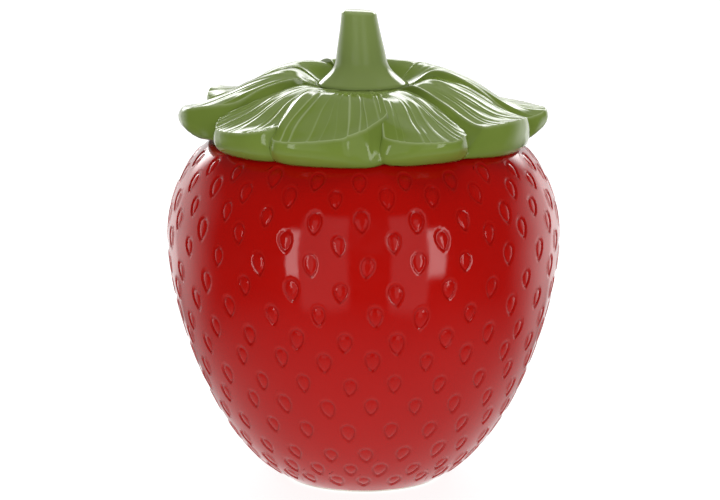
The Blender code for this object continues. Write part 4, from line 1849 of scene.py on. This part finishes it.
    def _under_point(self, row: int, foot: Vector, share: float) -> Vector:
        """A point of the hidden underside, between the flank's foot and the leaf's spine.

        Args:
            row: The row along the leaf.
            foot: The flank's foot.
            share: How far in from the foot, from 0 to 1.

        Returns:
            The point in the jar's frame.
        """
        lid = self.lid
        turn = math.radians(self.leaf.angle)
        reach = mix(*lid.spine_range, self.along[row])
        spine = Vector((reach * math.cos(turn), reach * math.sin(turn), 0.0))
        point = Vector((foot.x, foot.y, 0.0)).lerp(spine, share)
        under = max(lid.cap_inside(math.hypot(point.x, point.y)), lid.hidden_floor)
        point.z = mix(foot.z, under, ease(0.0, 0.5, share))
        return point

    def glaze_on_wall(self, number: int) -> float:
        """The glaze's thickness on a row below the edge, thin at the edge and pooled at the foot.

        Args:
            number: Which row below the edge, from 0.

        Returns:
            The thickness, below 0 where it is thin.
        """
        lid = self.lid
        if number >= len(lid.wall_shares):
            return lid.under_glaze
        share = lid.wall_shares[number]
        at_edge, at_foot = lid.wall_glaze
        return mix(at_edge, 0.0, ease(0.0, 0.08, share)) + at_foot * ease(0.6, 1.0, share)


@dataclass
class SealRing:
    """The silicone ring in the plug's groove, with two soft lips."""

    name: str = "seal_band"
    inside: float = 55.3 * MM
    body: float = 57.2 * MM
    lip: float = 58.7 * MM
    top: float = 142.0 * MM
    bottom: float = 137.2 * MM
    lip_rounding: float = 0.35 * MM
    lip_inset: float = 1.1 * MM
    waist_depth: float = 0.1 * MM
    corner_rounding: float = 0.3 * MM
    steps: int = 160

    def build(self) -> bpy.types.Object:
        """Make the ring's mesh.

        Returns:
            The ring as an object.
        """
        bm = bmesh.new()
        spin_profile(bm, self._profile(), self.steps, closed=True)
        bmesh.ops.recalc_face_normals(bm, faces=bm.faces[:])
        return finish_piece(bm, self.name)

    def _profile(self) -> list[Point]:
        """The ring's section: a band with two lips that reach towards the mouth.

        Returns:
            The points, in order.
        """
        rounding, soft = self.lip_rounding, self.corner_rounding
        upper, waist = self.top - self.lip_inset, self.body - self.waist_depth
        middle = (self.top + self.bottom) / 2.0
        half = arc((self.inside + soft, self.top - soft), soft, 180.0, 90.0, 3)
        half += [(self.body - 0.4 * MM, self.top)]
        half += arc((self.lip - rounding, upper), rounding, 65.0, -65.0, 6)
        half += curve(
            (
                (self.body + 0.35 * MM, upper - 0.95 * MM),
                (waist, upper - 1.2 * MM),
                (waist, middle + 0.3 * MM),
                (waist, middle),
            ),
            4,
        )
        mirrored = [(radius, 2.0 * middle - height) for radius, height in reversed(half)]
        return half + mirrored[1:]

    def dress(self, piece: bpy.types.Object) -> None:
        """Give the ring its silicone and its place on the frame.

        Args:
            piece: The ring's object.
        """
        piece.data.materials.append(Silicone().material())
        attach(piece, "seal")
        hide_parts("seal_ring")


@dataclass(frozen=True)
class SoftBox:
    """A soft rectangular light, placed round the jar's axis and turned to it."""

    name: str
    azimuth: float
    distance: float
    height: float
    width: float
    tall: float
    radiance: float
    aim_height: float = 0.09
    mirrored: bool = True
    lighting: bool = True
    fade: Point = (0.12, 0.12)

    def light(self) -> bpy.types.Object:
        """Make the light.

        Returns:
            The light's object.
        """
        data = bpy.data.lights.new(self.name, "AREA")
        data.shape = "RECTANGLE"
        data.size, data.size_y = self.width, self.tall
        data.energy = self.radiance * self.width * self.tall * math.pi
        lamp = bpy.data.objects.new(self.name, data)
        bpy.context.scene.collection.objects.link(lamp)
        turn = math.radians(self.azimuth)
        lamp.location = (
            self.distance * math.sin(turn),
            -self.distance * math.cos(turn),
            self.height,
        )
        aim = Vector((0.0, 0.0, self.aim_height)) - lamp.location
        lamp.rotation_euler = aim.to_track_quat("-Z", "Y").to_euler()
        lamp.visible_camera = False
        lamp.visible_glossy = self.mirrored
        lamp.visible_diffuse = self.lighting
        self._fade_edges(data)
        return lamp

    def _fade_edges(self, data: bpy.types.Light) -> None:
        """Let the light fall off towards its edges, as cloth over a box does.

        Args:
            data: The light.
        """
        data.use_nodes = True
        tree = data.node_tree
        emission = tree.nodes["Emission"]
        place = tree.nodes.new("ShaderNodeSeparateXYZ")
        geometry = tree.nodes.new("ShaderNodeNewGeometry")
        tree.links.new(geometry.outputs["Parametric"], place.inputs["Vector"])
        level = emission.inputs["Strength"]
        for axis, fade in zip("XY", self.fade):
            for ends in ((0.0, fade), (1.0, 1.0 - fade)):
                ramp = tree.nodes.new("ShaderNodeMapRange")
                ramp.interpolation_type = "SMOOTHSTEP"
                ramp.inputs["From Min"].default_value = ends[0]
                ramp.inputs["From Max"].default_value = ends[1]
                tree.links.new(place.outputs[axis], ramp.inputs["Value"])
                product = tree.nodes.new("ShaderNodeMath")
                product.operation = "MULTIPLY"
                product.inputs[1].default_value = 1.0
                tree.links.new(product.outputs["Value"], level)
                tree.links.new(ramp.outputs["Result"], product.inputs[0])
                level = product.inputs[1]


@dataclass
class Studio:
    """The pale floor, the soft lights and the camera."""

    image_width: float = 720.0
    floor_radius: float = 7.0
    floor_sides: int = 128
    camera_distance: float = 1.2153
    camera_elevation: float = 11.0
    target_height: float = 97.4 * MM
    metres_to_pixel: float = 0.0004253
    sensor: float = 36.0
    axis_offset: float = 3.5
    sky: float = 0.12
    boxes: tuple[SoftBox, ...] = (
        SoftBox(
            "left_strip", azimuth=-37.5, distance=0.42, height=0.12, width=0.06, tall=0.29,
            radiance=8.5, aim_height=0.12, fade=(0.2, 0.15), lighting=False,
        ),
        SoftBox(
            "right_strip", azimuth=38.5, distance=0.42, height=0.12, width=0.08, tall=0.29,
            radiance=8.5, aim_height=0.12, fade=(0.2, 0.15), lighting=False,
        ),
        SoftBox(
            "left_panel", azimuth=-22.0, distance=0.62, height=0.13, width=0.35, tall=0.80,
            radiance=1.0, aim_height=0.13, fade=(0.15, 0.1), lighting=False,
        ),
        SoftBox(
            "right_panel", azimuth=26.0, distance=0.62, height=0.13, width=0.28, tall=0.80,
            radiance=1.1, aim_height=0.13, fade=(0.15, 0.1), lighting=False,
        ),
        SoftBox(
            "left_wall", azimuth=-126.0, distance=1.5, height=0.10, width=2.2, tall=1.7,
            radiance=1.8, fade=(0.5, 0.4),
        ),
        SoftBox(
            "right_wall", azimuth=126.0, distance=1.5, height=0.05, width=2.2, tall=1.7,
            radiance=2.2, fade=(0.5, 0.4),
        ),
        SoftBox(
            "back_wall", azimuth=180.0, distance=3.4, height=-0.10, width=6.0, tall=2.0,
            radiance=1.1,
        ),
        SoftBox(
            "back_top", azimuth=180.0, distance=3.4, height=1.35, width=6.0, tall=1.6,
            radiance=4.2, fade=(0.3, 0.5),
        ),
        SoftBox(
            "back_sky", azimuth=180.0, distance=1.6, height=2.3, width=3.6, tall=2.4,
            radiance=0.6, fade=(0.3, 0.2),
        ),
        SoftBox(
            "right_high", azimuth=152.0, distance=2.4, height=1.15, width=1.6, tall=0.9,
            radiance=6.5, fade=(0.4, 0.4),
        ),
        SoftBox(
            "left_high", azimuth=-156.0, distance=2.4, height=0.85, width=1.6, tall=0.9,
            radiance=7.0, fade=(0.4, 0.4),
        ),
        SoftBox(
            "roof_fill", azimuth=180.0, distance=0.3, height=1.6, width=1.6, tall=1.6,
            radiance=2.6, mirrored=False,
        ),
        SoftBox(
            "floor_glow", azimuth=180.0, distance=0.0, height=-0.02, width=0.68, tall=0.68,
            radiance=1.2, fade=(0.5, 0.5), lighting=False,
        ),
        SoftBox(
            "front_fill", azimuth=4.0, distance=1.5, height=0.55, width=1.4, tall=0.9,
            radiance=4.2, mirrored=False,
        ),
    )

    def build(self) -> None:
        """Make the floor, the lights, the sky and the camera."""
        self._floor()
        for box in self.boxes:
            box.light()
        world = bpy.data.worlds.new("studio")
        world.use_nodes = True
        background = world.node_tree.nodes["Background"]
        background.inputs["Color"].default_value = (1.0, 1.0, 1.0, 1.0)
        background.inputs["Strength"].default_value = self.sky
        scene = bpy.context.scene
        scene.world = world
        scene.view_settings.view_transform = "Standard"
        self._camera()

    def _floor(self) -> None:
        """Make the round pale floor."""
        bm = bmesh.new()
        bmesh.ops.create_circle(
            bm, cap_ends=True, radius=self.floor_radius, segments=self.floor_sides
        )
        bmesh.ops.poke(bm, faces=bm.faces[:])
        floor = finish_piece(bm, "pale_floor")
        floor.data.materials.append(PalePaper().material())
        floor.visible_glossy = False

    def _camera(self) -> None:
        """Make the camera at the photograph's viewing angle."""
        data = bpy.data.cameras.new("camera")
        camera = bpy.data.objects.new("camera", data)
        scene = bpy.context.scene
        scene.collection.objects.link(camera)
        tilt = math.radians(self.camera_elevation)
        target = Vector((0.0, 0.0, self.target_height))
        back = Vector((0.0, -math.cos(tilt), math.sin(tilt)))
        camera.location = target + back * self.camera_distance
        camera.rotation_euler = (-back).to_track_quat("-Z", "Y").to_euler()
        data.sensor_width = self.sensor
        pixels = self.camera_distance / self.metres_to_pixel
        data.lens = pixels / self.image_width * self.sensor
        data.shift_x = -self.axis_offset / self.image_width
        data.dof.use_dof = False
        scene.camera = camera


def main() -> None:
    """Load the frame, build and dress each sub-assembly, then the studio, and log each piece's face count.
    """
    logging.basicConfig(level=logging.INFO, format="%(name)s: %(message)s")
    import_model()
    for assembly in (BerryJar(), LeafLid(), SealRing()):
        piece = assembly.build()
        assembly.dress(piece)
        LOG.info("%s is in place", piece.name)
    Studio().build()
    bpy.context.view_layer.update()


if __name__ == "__main__":
    main()
